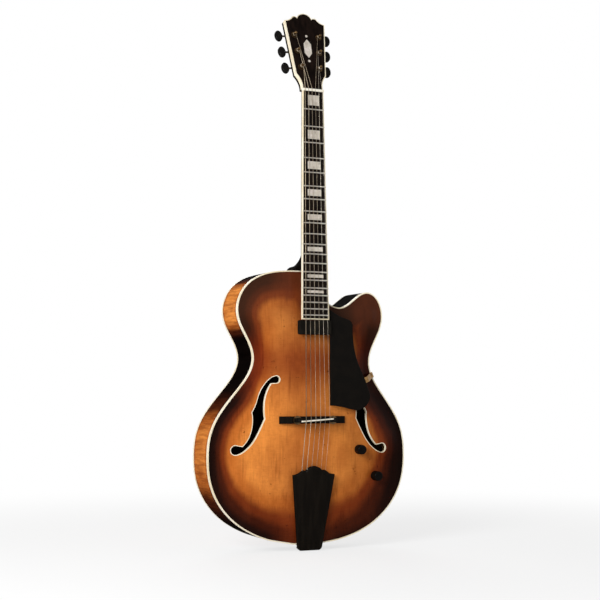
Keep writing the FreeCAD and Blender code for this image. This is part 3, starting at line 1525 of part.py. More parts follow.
def make_pot(at):
    seat = pot_seat(at)
    low = seat - POT_HEIGHT
    floor_level = low + POT_FLOOR
    case = upright(at, POT_RADIUS, low, seat + POT_HEIGHT).cut(CEILING)
    bushing = upright(at, POT_BUSHING_RADIUS, floor_level, knob_floor(at) - POT_KNOB_GAP)
    bore = upright(at, POT_SHAFT_RADIUS + RUN_GAP, floor_level, TOP + CUT_REACH)
    nut_floor = V(at[0], at[1], min(heights_round(at, POT_NUT_RADIUS)) - POT_NUT_HEIGHT)
    nut_top = V(at[0], at[1], max(heights_round(at, POT_NUT_RADIUS)) + POT_NUT_HEIGHT)
    nut = hex_bar(nut_floor, nut_top, POT_NUT_RADIUS).cut([BELOW_TOP, bushing])
    return [joined([case, bushing]).cut(bore), nut]


# Screws: a shank along minus Z under a round head that stands on the origin plane
def screw(placement):
    shank = Part.makeCylinder(SCREW_RADIUS, SCREW_LENGTH, V(0, 0, -SCREW_LENGTH))
    head = Part.makeCylinder(SCREW_HEAD_RADIUS, SCREW_HEAD_HEIGHT)
    return put(joined([shank, head]), placement)


def turned(x, y, z, axis, angle):
    return FreeCAD.Placement(V(x, y, z), FreeCAD.Rotation(axis, angle))


def tuner_screws():
    spot = turned(0, -HOUSING_HALF - LUG_LENGTH / 2, -HEAD_THICKNESS - LUG_THICKNESS, V(1, 0, 0), 180)
    return [at_tuner(i, screw(spot)) for i in range(6)]


def tailpiece_screws():
    middle = -(TAILPIECE_OVERHANG - BRACKET_INSET + BRACKET_THICKNESS) / 2
    flange = -TAILPIECE_THICKNESS - BRACKET_THICKNESS
    places = (-BRACKET_SCREW_SPREAD / 2, BRACKET_SCREW_SPREAD / 2)
    return [put(screw(turned(x, middle, flange, V(1, 0, 0), 180)), TAILPIECE) for x in places]


def guard_screw():
    outside = BRACKET_STRIP_THICKNESS + GUARD_BRACKET_SEAT
    return put(screw(turned(outside, 0, TOP - GUARD_SCREW_DROP, V(0, 1, 0), 90)), RIM)


TUNER_SCREWS = tuner_screws()
TAILPIECE_SCREWS = tailpiece_screws()
GUARD_SCREW = guard_screw()


# Write every piece
save("top", make_top())
save("back", make_back())
save("bass_side", make_side(-1))
save("treble_side", make_side(1).cut(GUARD_SCREW))
save("linings", make_linings().cut(GUARD_SCREW))
save("end_blocks", make_end_blocks())
save("tone_bars", make_tone_bars())
save("body_bindings", make_body_bindings())
save("fhole_bindings", make_fhole_bindings())
save("neck", make_neck())
save("truss_rod", make_truss_rod())
save("fingerboard", make_fingerboard())
save("fingerboard_binding", make_fingerboard_binding())
save("frets", make_frets())
save("fingerboard_inlays", make_inlays())
save("nut", make_nut())
save("headstock_overlay", make_overlay())
save("headstock_binding", make_head_binding())
save("headstock_inlay", put(Part.makeCompound(inlay_shapes()), HEAD))
for number in range(6):
    save("tuner_button_%d" % (number + 1), at_tuner(number, make_button()))
    save("tuner_worm_%d" % (number + 1), at_tuner(number, make_worm()))
    save("tuner_post_%d" % (number + 1), at_tuner(number, make_post()))
save("tuner_housings", Part.makeCompound([at_tuner(i, make_housing()) for i in range(6)]).cut(TUNER_SCREWS))
save("tuner_bushings", Part.makeCompound([at_tuner(i, make_bushing()) for i in range(6)]))
save("wood_screws", Part.makeCompound(TUNER_SCREWS + TAILPIECE_SCREWS + [GUARD_SCREW]))
save("wound_strings", Part.makeCompound([make_string(i) for i in range(WOUND_COUNT)]))
save("plain_strings", Part.makeCompound([make_string(i) for i in range(WOUND_COUNT, 6)]))
save("pickguard", make_guard())
save("pickguard_bracket", make_guard_bracket())
save("pickup_cover", make_pickup_cover())
save("pickup_coil", make_pickup_coil())
save("bridge_base", make_bridge_base())
save("bridge_posts", Part.makeCompound(post_bars(BRIDGE_POST_RADIUS, BRIDGE_POST_TOP)))
save("bridge_saddle", make_saddle())
save("saddle_insert", insert_shape())
save("thumbwheel_bass", make_thumbwheel(-1))
save("thumbwheel_treble", make_thumbwheel(1))
save("tailpiece", make_tailpiece())
save("tailpiece_bracket", make_tailpiece_bracket())
save("output_jack", make_jack())
save("volume_knob", make_knob(VOLUME_AT))
save("tone_knob", make_knob(TONE_AT))
save("volume_shaft", make_pot_shaft(VOLUME_AT))
save("tone_shaft", make_pot_shaft(TONE_AT))
save("pots", Part.makeCompound(make_pot(VOLUME_AT) + make_pot(TONE_AT)))
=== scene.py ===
import math

import bmesh
import bpy
from mathutils import Matrix, Vector
from mathutils.kdtree import KDTree


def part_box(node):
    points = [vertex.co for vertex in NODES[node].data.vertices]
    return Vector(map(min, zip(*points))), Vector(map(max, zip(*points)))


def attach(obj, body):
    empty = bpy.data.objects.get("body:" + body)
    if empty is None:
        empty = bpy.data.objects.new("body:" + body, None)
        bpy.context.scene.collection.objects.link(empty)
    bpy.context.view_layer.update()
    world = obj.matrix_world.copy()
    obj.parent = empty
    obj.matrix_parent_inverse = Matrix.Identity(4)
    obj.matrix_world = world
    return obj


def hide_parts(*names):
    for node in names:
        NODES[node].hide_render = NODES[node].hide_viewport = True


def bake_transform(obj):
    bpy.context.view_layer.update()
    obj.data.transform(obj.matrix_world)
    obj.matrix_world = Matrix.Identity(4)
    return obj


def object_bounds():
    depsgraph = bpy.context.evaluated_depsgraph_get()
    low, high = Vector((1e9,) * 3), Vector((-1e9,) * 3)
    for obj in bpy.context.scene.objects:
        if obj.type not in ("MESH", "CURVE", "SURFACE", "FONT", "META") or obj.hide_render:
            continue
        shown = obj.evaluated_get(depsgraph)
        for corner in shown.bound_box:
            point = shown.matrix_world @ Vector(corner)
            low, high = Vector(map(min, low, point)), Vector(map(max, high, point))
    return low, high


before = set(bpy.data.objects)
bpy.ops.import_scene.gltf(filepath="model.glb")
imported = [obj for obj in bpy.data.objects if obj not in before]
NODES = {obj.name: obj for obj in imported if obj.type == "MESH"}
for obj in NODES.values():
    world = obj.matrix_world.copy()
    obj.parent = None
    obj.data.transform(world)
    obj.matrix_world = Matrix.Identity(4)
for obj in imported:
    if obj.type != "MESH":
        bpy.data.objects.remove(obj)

CAD_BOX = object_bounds()
TUNERS = 6

# Camera of the photograph, in metres, degrees and pixels of its 600 by 600 frame
FRAME_SIZE = 600
TARGET = Vector((0.0, -0.043, 0.450))
DISTANCE = 2.549
AZIMUTH = -23.822
ELEVATION = -3.067
ROLL = -0.132
FOCAL_PIXELS = 1293.84
CENTRE_PIXEL = (309.29, 313.80)
SENSOR = 36.0

# Studio: each lamp's name, place in metres, power in watts and width in metres
LAMPS = (
    ("key", (-1.75, -1.40, 1.10), 52.0, 1.3),
    ("fill", (2.4, -1.7, 0.9), 4.0, 1.4),
    ("back", (0.6, 2.6, 1.6), 30.0, 1.8),
)
WHITE = (1.0, 1.0, 1.0, 1.0)
AMBIENT = 0.27
FLOOR_PAINT = (0.92, 0.92, 0.92, 1.0)
FLOOR_SIZE = 40.0
FLOOR_GLOW = 0.72
FLOOR_CLEAR = (0.5, 1.6)

# Sunburst: distance from the binding in metres, and the lacquer there
BURST = (
    (0.000, (18, 7, 4)),
    (0.011, (32, 12, 6)),
    (0.020, (70, 27, 11)),
    (0.030, (128, 56, 21)),
    (0.044, (206, 117, 47)),
    (0.075, (242, 152, 69)),
)

# Zones of the body, in metres: where a finish starts to change and where the change ends; the
# bass-to-treble and treble-half zones also carry painted shade
BASS_TO_TREBLE_SHADE = (-0.120, 0.160)
TREBLE_HALF_SHADE = (0.030, 0.110)
CUTAWAY = (0.050, 0.110)
TAIL = (0.050, 0.200)
TAIL_EDGE = (0.030, 0.160)
WAIST = ((0.270, 0.350), (0.360, 0.430))
HORN = (0.380, 0.450)
SHOULDER = (0.400, 0.490)
UPPER_BOUT = (0.380, 0.460)
STRINGS_CENTRE = -0.014
STRINGS_SHADE = (0.016, 0.080)

# How far the sunburst drifts, is lifted at the tail and reaches in on the horn, in metres
BURST_DRIFT = 0.018
TAIL_LIFT = 0.011
HORN_DEPTH = 0.019

# Share of a face's normal along Y at which the inside of a plate begins
INNER_FACE = (-0.15, 0.0)

# Zones of the sides and the neck, in metres
SIDE_LOWER_BOUT = ((0.020, 0.168), (0.205, 0.315))
SIDE_UPPER_BOUT = ((0.395, 0.440), (0.495, 0.522))
SIDE_CUTAWAY = ((0.005, 0.020), (0.128, 0.150))
SIDE_CUTAWAY_FOOT = (0.430, 0.445)
SIDE_RIM = (0.026, 0.041)
NECK_WORN = ((0.560, 0.680), (0.800, 0.890))

# Ramps of a pattern's value and the colour there
SIDE_STAIN = ((0.0, (8, 4, 3)), (0.35, (70, 30, 13)), (0.65, (168, 92, 38)), (1.0, (226, 142, 66)))
PEARL_CLOUDS = (
    (0.25, (150, 140, 128)),
    (0.5, (200, 192, 178)),
    (0.68, (214, 204, 196)),
    (0.8, (176, 186, 182)),
)

# Fine sizes, in metres
GRAIN_WIDTH = 0.0015
GRAIN_SWAY = 0.012
GRAIN_UNEVEN = 0.010
WINDING_WIDTH = 0.0005
BACK_SEAM = (0.0002, 0.0009)
RIM_STEP = 0.002
WELD_DISTANCE = 1e-6


def srgb(red, green, blue):
    def linear(value):
        share = value / 255
        return share / 12.92 if share <= 0.04045 else ((share + 0.055) / 1.055) ** 2.4

    return (linear(red), linear(green), linear(blue), 1.0)


class Look:
    """A node material under construction."""

    def __init__(self, name, roughness=0.4, metallic=0.0, gloss=0.5, coat=0.0, coat_roughness=0.1):
        self.material = bpy.data.materials.new(name)
        self.material.use_nodes = True
        self.tree = self.material.node_tree
        self.shader = self.tree.nodes["Principled BSDF"]
        self.shader.inputs["Roughness"].default_value = roughness
        self.shader.inputs["Metallic"].default_value = metallic
        self.shader.inputs["Specular IOR Level"].default_value = gloss
        self.shader.inputs["Coat Weight"].default_value = coat
        self.shader.inputs["Coat Roughness"].default_value = coat_roughness
        self.place = self.node("ShaderNodeTexCoord").outputs["Object"]

    def feed(self, socket, value):
        if isinstance(value, bpy.types.NodeSocket):
            self.tree.links.new(value, socket)
        else:
            socket.default_value = value

    def node(self, kind, inputs=None, **settings):
        made = self.tree.nodes.new(kind)
        for name, value in settings.items():
            setattr(made, name, value)
        for key, value in (inputs or {}).items():
            self.feed(made.inputs[key], value)
        return made

    def axes(self, at=None):
        split = self.node("ShaderNodeSeparateXYZ", {0: at or self.place})
        return split.outputs[0], split.outputs[1], split.outputs[2]

    def point(self, x, y, z):
        return self.node("ShaderNodeCombineXYZ", {0: x, 1: y, 2: z}).outputs[0]

    def stretched(self, scale):
        return self.node("ShaderNodeMapping", {0: self.place, 3: scale}).outputs[0]

    def math(self, operation, a, b=0.0):
        return self.node("ShaderNodeMath", {0: a, 1: b}, operation=operation).outputs[0]

    def noise(self, scale, at=None, detail=3.0, roughness=0.5):
        inputs = {"Vector": at or self.place, "Scale": scale, "Detail": detail, "Roughness": roughness}
        return self.node("ShaderNodeTexNoise", inputs).outputs[0]

    def bands(self, width, at, distortion=0.0):
        inputs = {"Vector": at, "Scale": math.pi / 10 / width, "Distortion": distortion, "Detail": 2.0}
        return self.node("ShaderNodeTexWave", inputs, bands_direction="X").outputs[1]

    def fade(self, value, low, high, start=0.0, end=1.0):
        inputs = {0: value, 1: low, 2: high, 3: start, 4: end}
        return self.node("ShaderNodeMapRange", inputs, interpolation_type="SMOOTHSTEP").outputs[0]

    def zone(self, value, rise, fall, height=1.0):
        return self.math("MULTIPLY", self.fade(value, *rise), self.fade(value, *fall, height, 0.0))

    def mix(self, share, first, second, blend="MIX"):
        inputs = {0: share, 6: first, 7: second}
        return self.node("ShaderNodeMix", inputs, data_type="RGBA", blend_type=blend).outputs[2]

    def stain(self, share, colour, *tint):
        return self.mix(share, colour, srgb(*tint), "MULTIPLY")

    def ramp(self, value, stops):
        made = self.node("ShaderNodeValToRGB", {0: value})
        marks = made.color_ramp.elements
        for index, (at, colour) in enumerate(stops):
            mark = marks[index] if index < 2 else marks.new(at)
            mark.position = at
            mark.color = srgb(*colour)
        made.color_ramp.interpolation = "EASE"
        return made.outputs[0]

    def finish(self, colour, bump, depth=0.0002, strength=0.3, roughness=None):
        self.feed(self.shader.inputs["Base Color"], colour)
        if roughness is not None:
            self.feed(self.shader.inputs["Roughness"], roughness)
        inputs = {"Height": bump, "Strength": strength, "Distance": depth}
        self.feed(self.shader.inputs["Normal"], self.node("ShaderNodeBump", inputs).outputs[0])
        return self.material


# Wood with a sunburst
def burst_colour(look):
    """Dark at the binding and amber inside, with the dark band narrow on the bass side and at the waist;
    its greater width on the treble half is partly painted shade.
    """
    reach = BURST[-1][0]
    edge = look.node("ShaderNodeAttribute", attribute_name="edge").outputs["Fac"]
    x, _, z = look.axes()
    # Partly painted shade: the dark band spreads further in on the treble half, which the key light reaches
    # less.
    side = look.fade(x, *BASS_TO_TREBLE_SHADE, 1.10, 0.62)
    ends = look.math("MULTIPLY", look.fade(z, *TAIL, 0.48, 1.0), look.fade(z, *SHOULDER, 1.0, 0.66))
    spread = look.math("ADD", look.math("MULTIPLY", ends, side), look.zone(z, *WAIST, 0.58))
    horn = look.math("MULTIPLY", look.fade(x, *CUTAWAY), look.fade(z, *HORN, 0.0, HORN_DEPTH))
    drift = look.math("MULTIPLY", look.math("SUBTRACT", look.noise(9.0), 0.5), BURST_DRIFT)
    lift = look.fade(z, *TAIL_EDGE, TAIL_LIFT, 0.0)
    depth = look.math("ADD", look.math("MULTIPLY", edge, spread), look.math("ADD", drift, lift))
    share = look.math("DIVIDE", look.math("MAXIMUM", depth, horn), reach)
    return look.ramp(share, [(at / reach, colour) for at, colour in BURST])


def with_painted_inside_shade(look, colour, outward):
    """Painted shade on the faces that look into the body: their bare wood is darkened to stand for the
    shade inside.
    """
    facing = look.axes(look.node("ShaderNodeTexCoord").outputs["Normal"])[1]
    inside = look.fade(look.math("MULTIPLY", facing, outward), *INNER_FACE, 1.0, 0.0)
    grain = look.noise(300.0, look.stretched((1.0, 1.0, 0.04)))
    raw = look.mix(look.fade(grain, 0.35, 0.7), srgb(56, 36, 22), srgb(40, 25, 15))
    # Painted shade: the inner faces take this dark brown in place of their lighter bare wood.
    return look.mix(inside, colour, raw)


def spruce_grain(look):
    x, y, z = look.axes()
    slow = look.noise(5.0, look.stretched((0.3, 0.3, 1.0)))
    quick = look.noise(75.0, look.stretched((1.0, 0.0, 0.02)), detail=2.0)
    sway = look.math("MULTIPLY", slow, GRAIN_SWAY)
    uneven = look.math("MULTIPLY", quick, GRAIN_UNEVEN)
    shifted = look.math("ADD", look.math("ADD", look.math("ABSOLUTE", x), sway), uneven)
    return look.bands(GRAIN_WIDTH, look.point(shifted, y, look.math("MULTIPLY", z, 0.02)), 1.2)


def spruce_zones(look, colour):
    """Redder under the strings and at the waist, and darker on the treble half, which is a painted shade of
    the side the key light reaches less.
    """
    x, _, z = look.axes()
    strings = look.math("ABSOLUTE", look.math("SUBTRACT", x, STRINGS_CENTRE))
    colour = look.mix(look.fade(strings, *STRINGS_SHADE, 0.42, 0.0), colour, srgb(150, 66, 28))
    waist = look.math("MULTIPLY", look.zone(z, *WAIST, 0.76), look.fade(x, *CUTAWAY, 1.0, 0.2))
    colour = look.mix(waist, colour, srgb(130, 49, 19))
    # Painted shade: the treble half is darkened towards a browner amber.
    return look.mix(look.fade(x, *TREBLE_HALF_SHADE, 0.0, 0.5), colour, srgb(166, 98, 42), "DARKEN")


def spruce_marks(look, colour, grain):
    """Grain lines, streaks, two sizes of stain, silk across the grain, and flecks in a few places."""
    streaks = look.noise(260.0, look.stretched((1.0, 1.0, 0.03)), detail=4.0, roughness=0.6)
    mottle = look.noise(15.0, look.stretched((1.0, 1.0, 0.55)), detail=4.0, roughness=0.62)
    wash = look.noise(48.0, look.stretched((1.0, 1.0, 0.45)), detail=4.0, roughness=0.65)
    silk = look.noise(330.0, look.stretched((0.22, 1.0, 1.0)), roughness=0.6)
    flecks = look.noise(210.0, look.stretched((0.7, 1.0, 0.8)), detail=2.0)
    flecked = look.fade(look.noise(22.0), 0.50, 0.60)
    colour = look.stain(look.fade(grain, 0.35, 0.95, 0.0, 0.17), colour, 96, 42, 16)
    colour = look.stain(look.fade(streaks, 0.52, 0.75, 0.0, 0.35), colour, 120, 62, 26)
    colour = look.stain(look.fade(mottle, 0.34, 0.66, 0.27, 0.0), colour, 140, 66, 26)
    colour = look.stain(look.fade(wash, 0.36, 0.62, 0.20, 0.0), colour, 150, 80, 38)
    colour = look.stain(look.fade(silk, 0.40, 0.70, 0.0, 0.10), colour, 150, 78, 36)
    speck = look.math("MULTIPLY", look.fade(flecks, 0.66, 0.72, 0.0, 0.55), flecked)
    return look.stain(speck, colour, 88, 36, 14)


def spruce_top():
    look = Look("spruce_sunburst", roughness=0.5, gloss=0.0, coat=0.10, coat_roughness=0.18)
    z = look.axes()[2]
    grain = spruce_grain(look)
    colour = spruce_marks(look, spruce_zones(look, burst_colour(look)), grain)
    colour = look.mix(look.fade(z, *UPPER_BOUT, 0.0, 0.30), colour, srgb(94, 56, 36))
    colour = with_painted_inside_shade(look, colour, -1.0)
    rough = look.fade(look.noise(40.0), 0.3, 0.7, 0.42, 0.58)
    return look.finish(colour, grain, depth=0.00012, strength=0.12, roughness=rough)


def maple_back():
    look = Look("flamed_maple_back", roughness=0.5, gloss=0.0, coat=0.16, coat_roughness=0.14)
    x, y, z = look.axes()
    across = look.math("ABSOLUTE", x)
    slant = look.math("ADD", z, look.math("MULTIPLY", across, 0.32))
    flame_at = look.point(look.math("MULTIPLY", across, 0.16), y, slant)
    flame = look.noise(95.0, flame_at)
    grain = look.noise(420.0, look.stretched((1.0, 1.0, 0.03)))
    colour = burst_colour(look)
    colour = look.stain(look.fade(flame, 0.38, 0.62, 0.55, 0.0), colour, 120, 54, 20)
    colour = look.stain(look.fade(grain, 0.4, 0.7, 0.0, 0.25), colour, 120, 62, 28)
    colour = look.mix(look.fade(across, *BACK_SEAM, 0.7, 0.0), colour, srgb(40, 16, 8))
    colour = with_painted_inside_shade(look, colour, 1.0)
    rough = look.fade(flame, 0.3, 0.7, 0.24, 0.36)
    return look.finish(colour, flame, strength=0.08, roughness=rough)


def maple_sides():
    look = Look("flamed_maple_sides", roughness=0.5, gloss=0.0, coat=0.006, coat_roughness=0.2)
    x, y, z = look.axes()
    flame = look.noise(170.0, look.stretched((1.0, 0.10, 1.0)), roughness=0.55)
    fine = look.noise(500.0, look.stretched((1.0, 0.05, 1.0)), detail=2.0)
    bouts = look.math("MAXIMUM", look.zone(z, *SIDE_LOWER_BOUT, 0.92), look.zone(z, *SIDE_UPPER_BOUT))
    cutaway = look.math("MULTIPLY", look.zone(x, *SIDE_CUTAWAY), look.fade(z, *SIDE_CUTAWAY_FOOT))
    light = look.math("MULTIPLY", bouts, look.math("SUBTRACT", 1.0, cutaway))
    rim = look.fade(look.math("ABSOLUTE", y), *SIDE_RIM, 1.0, 0.7)
    uneven = look.fade(look.noise(11.0), 0.25, 0.7, 0.84, 1.0)
    share = look.math("MULTIPLY", look.math("MULTIPLY", light, rim), uneven)
    colour = look.ramp(share, SIDE_STAIN)
    colour = look.stain(look.fade(flame, 0.36, 0.60, 0.42, 0.0), colour, 130, 66, 28)
    colour = look.stain(look.fade(fine, 0.4, 0.7, 0.0, 0.2), colour, 110, 60, 30)
    rough = look.fade(flame, 0.3, 0.7, 0.24, 0.36)
    return look.finish(colour, flame, strength=0.08, roughness=rough)


# Other woods, binding, pearl and bone
def stained_neck():
    look = Look("stained_neck", roughness=0.5, gloss=0.0, coat=0.006, coat_roughness=0.2)
    z = look.axes()[2]
    flame = look.noise(110.0, look.stretched((0.4, 0.4, 1.0)))
    worn = look.zone(z, *NECK_WORN)
    colour = look.mix(look.fade(worn, 0.0, 1.0, 0.0, 0.8), srgb(12, 7, 5), srgb(58, 27, 14))
    colour = look.stain(look.fade(flame, 0.4, 0.65, 0.5, 0.0), colour, 120, 70, 40)
    rough = look.fade(flame, 0.3, 0.7, 0.26, 0.36)
    return look.finish(colour, flame, depth=0.0001, strength=0.06, roughness=rough)


def dark_wood(name, dark, light, roughness, coat=0.05):
    look = Look(name, roughness=roughness, gloss=0.0, coat=coat, coat_roughness=0.2)
    pores = look.noise(900.0, look.stretched((1.0, 1.0, 0.035)), detail=4.0, roughness=0.6)
    stripes = look.noise(120.0, look.stretched((1.0, 1.0, 0.05)))
    colour = look.mix(look.fade(stripes, 0.35, 0.7), srgb(*dark), srgb(*light))
    colour = look.stain(look.fade(pores, 0.55, 0.75, 0.0, 0.55), colour, 70, 58, 50)
    rough = look.fade(pores, 0.3, 0.7, roughness - 0.05, roughness + 0.08)
    return look.finish(colour, pores, depth=0.00015, strength=0.15, roughness=rough)


def raw_wood():
    look = Look("raw_spruce", roughness=0.7)
    grain = look.noise(300.0, look.stretched((1.0, 1.0, 0.04)), detail=4.0)
    patches = look.noise(18.0)
    colour = look.mix(look.fade(grain, 0.35, 0.7), srgb(170, 132, 84), srgb(132, 98, 60))
    colour = look.stain(look.fade(patches, 0.4, 0.7, 0.0, 0.4), colour, 190, 160, 120)
    return look.finish(colour, grain, strength=0.2)


def cream_binding():
    look = Look("cream_binding", roughness=0.4, gloss=0.2)
    age = look.noise(22.0, detail=4.0)
    layers = look.noise(900.0, look.stretched((1.0, 1.0, 0.2)), detail=2.0)
    colour = look.mix(look.fade(age, 0.3, 0.75), srgb(243, 234, 212), srgb(228, 212, 178))
    colour = look.stain(look.fade(layers, 0.4, 0.8, 0.0, 0.25), colour, 228, 218, 190)
    rough = look.fade(age, 0.3, 0.7, 0.30, 0.44)
    return look.finish(colour, layers, depth=0.0001, strength=0.05, roughness=rough)


def pearl():
    look = Look("pearl", roughness=0.22, coat=0.5)
    clouds = look.noise(70.0, detail=5.0, roughness=0.65)
    layers = look.noise(160.0, look.stretched((1.0, 1.0, 0.35)))
    colour = look.ramp(clouds, PEARL_CLOUDS)
    colour = look.stain(look.fade(layers, 0.4, 0.7, 0.0, 0.35), colour, 196, 176, 166)
    look.shader.inputs["Sheen Weight"].default_value = 0.15
    rough = look.fade(clouds, 0.3, 0.7, 0.16, 0.3)
    return look.finish(colour, clouds, strength=0.08, roughness=rough)


def bone():
    look = Look("bone", roughness=0.38)
    grain = look.noise(600.0, look.stretched((0.2, 1.0, 1.0)))
    age = look.noise(60.0)
    colour = look.mix(look.fade(age, 0.3, 0.7), srgb(246, 242, 230), srgb(232, 222, 198))
    colour = look.stain(look.fade(grain, 0.5, 0.8, 0.0, 0.3), colour, 214, 200, 170)
    return look.finish(colour, grain, depth=0.0001, strength=0.1)


# Metal and plastic
def metal(name, bright, dull, roughness):
    look = Look(name, roughness=roughness, metallic=1.0)
    wear = look.noise(180.0, detail=5.0, roughness=0.6)
    spots = look.noise(30.0, detail=2.0)
    colour = look.mix(look.fade(wear, 0.35, 0.7), srgb(*bright), srgb(*dull))
    colour = look.mix(look.fade(spots, 0.45, 0.7, 0.0, 0.4), colour, srgb(*dull))
    rough = look.fade(wear, 0.3, 0.7, roughness - 0.08, roughness + 0.12)
    return look.finish(colour, wear, depth=0.0001, strength=0.05, roughness=rough)


def wound_string():
    look = Look("bronze_winding", roughness=0.3, metallic=1.0)
    x, y, z = look.axes()
    turns = look.bands(WINDING_WIDTH, look.point(z, y, x))
    tarnish = look.noise(50.0, look.stretched((1.0, 1.0, 0.2)))
    colour = look.mix(look.fade(tarnish, 0.35, 0.7), srgb(198, 182, 158), srgb(150, 136, 116))
    # Painted shade in the grooves between the turns of the winding.
    colour = look.stain(look.fade(turns, 0.1, 0.6, 0.55, 0.0), colour, 92, 82, 68)
    return look.finish(colour, turns, strength=0.6)


def black_plastic(name, dark, light, roughness, coat=0.08):
    look = Look(name, roughness=roughness, gloss=0.0, coat=coat, coat_roughness=0.12)
    haze = look.noise(60.0, detail=4.0)
    scratches = look.noise(700.0, look.stretched((0.25, 1.0, 1.0)), roughness=0.6)
    colour = look.mix(look.fade(haze, 0.35, 0.7), srgb(*dark), srgb(*light))
    rough = look.fade(scratches, 0.35, 0.75, roughness - 0.06, roughness + 0.14)
    return look.finish(colour, scratches, depth=0.00005, strength=0.05, roughness=rough)


# Pieces
def dress(material, *names):
    for name in names:
        mesh = NODES[name].data
        mesh.materials.clear()
        mesh.materials.append(material)


def numbered(name):
    return ["%s_%d" % (name, n) for n in range(1, TUNERS + 1)]


def add_piece(name, mesh):
    piece = bpy.data.objects.new(name, mesh)
    bpy.context.scene.collection.objects.link(piece)
    return piece


def rim_tree():
    """Points along the binding, to measure the sunburst's distance from it as seen from the front."""
    mesh = NODES["body_bindings"].data
    spots = []
    for edge in mesh.edges:
        first, last = [mesh.vertices[v].co for v in edge.vertices]
        steps = max(1, round((last - first).length / RIM_STEP))
        spots += [first.lerp(last, step / steps) for step in range(steps)]
    tree = KDTree(len(spots))
    for index, spot in enumerate(spots):
        tree.insert((spot.x, 0.0, spot.z), index)
    tree.balance()
    return tree


def plate(node, name, material, tree):
    """The top or back, with its distance from the binding stored at every point."""
    mesh = NODES[node].data.copy()
    mesh.name = name
    edge = mesh.attributes.new("edge", "FLOAT", "POINT")
    for vertex in mesh.vertices:
        edge.data[vertex.index].value = tree.find((vertex.co.x, 0.0, vertex.co.z))[2]
    mesh.materials.clear()
    mesh.materials.append(material)
    piece = add_piece(name, mesh)
    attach(piece, "guitar")
    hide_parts(node)


def slice_across(work, level, **clear):
    geometry = work.verts[:] + work.edges[:] + work.faces[:]
    plane = {"plane_co": (0.0, 0.0, level), "plane_no": (0.0, 0.0, 1.0)}
    return bmesh.ops.bisect_plane(work, geom=geometry, **plane, **clear)


def string_length(node, name, start, keep_above):
    """The strings on one side of the saddle: cut at the saddle and closed there, with an extra cut at the
    start level; the far end stays.
    """
    low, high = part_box("saddle_insert")
    saddle = (low.z + high.z) / 2
    mesh = NODES[node].data.copy()
    mesh.name = name
    work = bmesh.new()
    work.from_mesh(mesh)
    bmesh.ops.remove_doubles(work, verts=work.verts, dist=WELD_DISTANCE)
    slice_across(work, start)
    cut = slice_across(work, saddle, clear_inner=keep_above, clear_outer=not keep_above)
    rims = [item for item in cut["geom_cut"] if isinstance(item, bmesh.types.BMEdge)]
    bmesh.ops.holes_fill(work, edges=rims, sides=0)
    work.to_mesh(mesh)
    work.free()
    piece = add_piece(name, mesh)
    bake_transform(piece)
    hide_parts(node)


RIM = rim_tree()
plate("top", "carved_top", spruce_top(), RIM)
plate("back", "carved_back", maple_back(), RIM)

dress(maple_sides(), "bass_side", "treble_side")
dress(raw_wood(), "linings", "end_blocks", "tone_bars")
dress(cream_binding(), "body_bindings", "fhole_bindings", "fingerboard_binding", "headstock_binding")
dress(stained_neck(), "neck")
dress(dark_wood("ebony_board", (17, 13, 11), (30, 23, 19), 0.5), "fingerboard")
EBONY = dark_wood("ebony_fittings", (17, 14, 11), (24, 20, 16), 0.5)
dress(EBONY, "tailpiece", "bridge_base", "bridge_saddle")
dress(dark_wood("head_veneer", (16, 11, 9), (30, 21, 17), 0.5, 0.02), "headstock_overlay")
dress(pearl(), "fingerboard_inlays", "headstock_inlay")
dress(bone(), "nut", "saddle_insert")
dress(metal("nickel", (216, 210, 200), (182, 174, 164), 0.32), "frets", "output_jack")
dress(metal("steel", (190, 192, 194), (132, 132, 132), 0.34), "truss_rod", "pots")
dress(metal("black_steel", (46, 44, 42), (26, 25, 24), 0.45), "bridge_posts")
AGED_GOLD = metal("aged_gold", (92, 72, 48), (56, 43, 28), 0.46)
dress(AGED_GOLD, "tuner_bushings", "tuner_housings", "tailpiece_bracket")
AGED_GOLD_PARTS = metal("aged_gold_parts", (112, 88, 58), (66, 51, 33), 0.42)
dress(AGED_GOLD_PARTS, *numbered("tuner_post"), *numbered("tuner_worm"))
dress(metal("matte_brass", (166, 130, 84), (120, 92, 58), 0.46), "pickguard_bracket")
dress(metal("brass", (212, 178, 112), (150, 116, 66), 0.30), "volume_shaft", "tone_shaft")
dress(metal("dull_brass", (132, 108, 78), (88, 70, 48), 0.44), "thumbwheel_bass", "thumbwheel_treble")
dress(metal("screw_brass", (198, 164, 104), (120, 92, 56), 0.36), "wood_screws")
dress(black_plastic("guard_plastic", (16, 14, 12), (20, 17, 14), 0.4, 0.05), "pickguard")
dress(black_plastic("pickup_plastic", (19, 17, 14), (30, 27, 23), 0.5, 0.03), "pickup_cover")
dress(black_plastic("coil_tape", (24, 22, 20), (40, 36, 32), 0.6, 0.0), "pickup_coil")
dress(black_plastic("button_plastic", (12, 11, 10), (22, 20, 18), 0.28), *numbered("tuner_button"))
dress(black_plastic("knob_plastic", (9, 7, 6), (16, 13, 11), 0.3, 0.14), "volume_knob", "tone_knob")

# The strings take their finish first, because each length of string copies it
dress(wound_string(), "wound_strings")
dress(metal("plain_wire", (206, 196, 180), (158, 148, 132), 0.34), "plain_strings")
NUT_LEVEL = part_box("nut")[0].z
TAILPIECE_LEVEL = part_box("tailpiece")[1].z
string_length("wound_strings", "wound_strings_neck", NUT_LEVEL, True)
string_length("wound_strings", "wound_strings_tail", TAILPIECE_LEVEL, False)
string_length("plain_strings", "plain_strings_neck", NUT_LEVEL, True)
string_length("plain_strings", "plain_strings_tail", TAILPIECE_LEVEL, False)


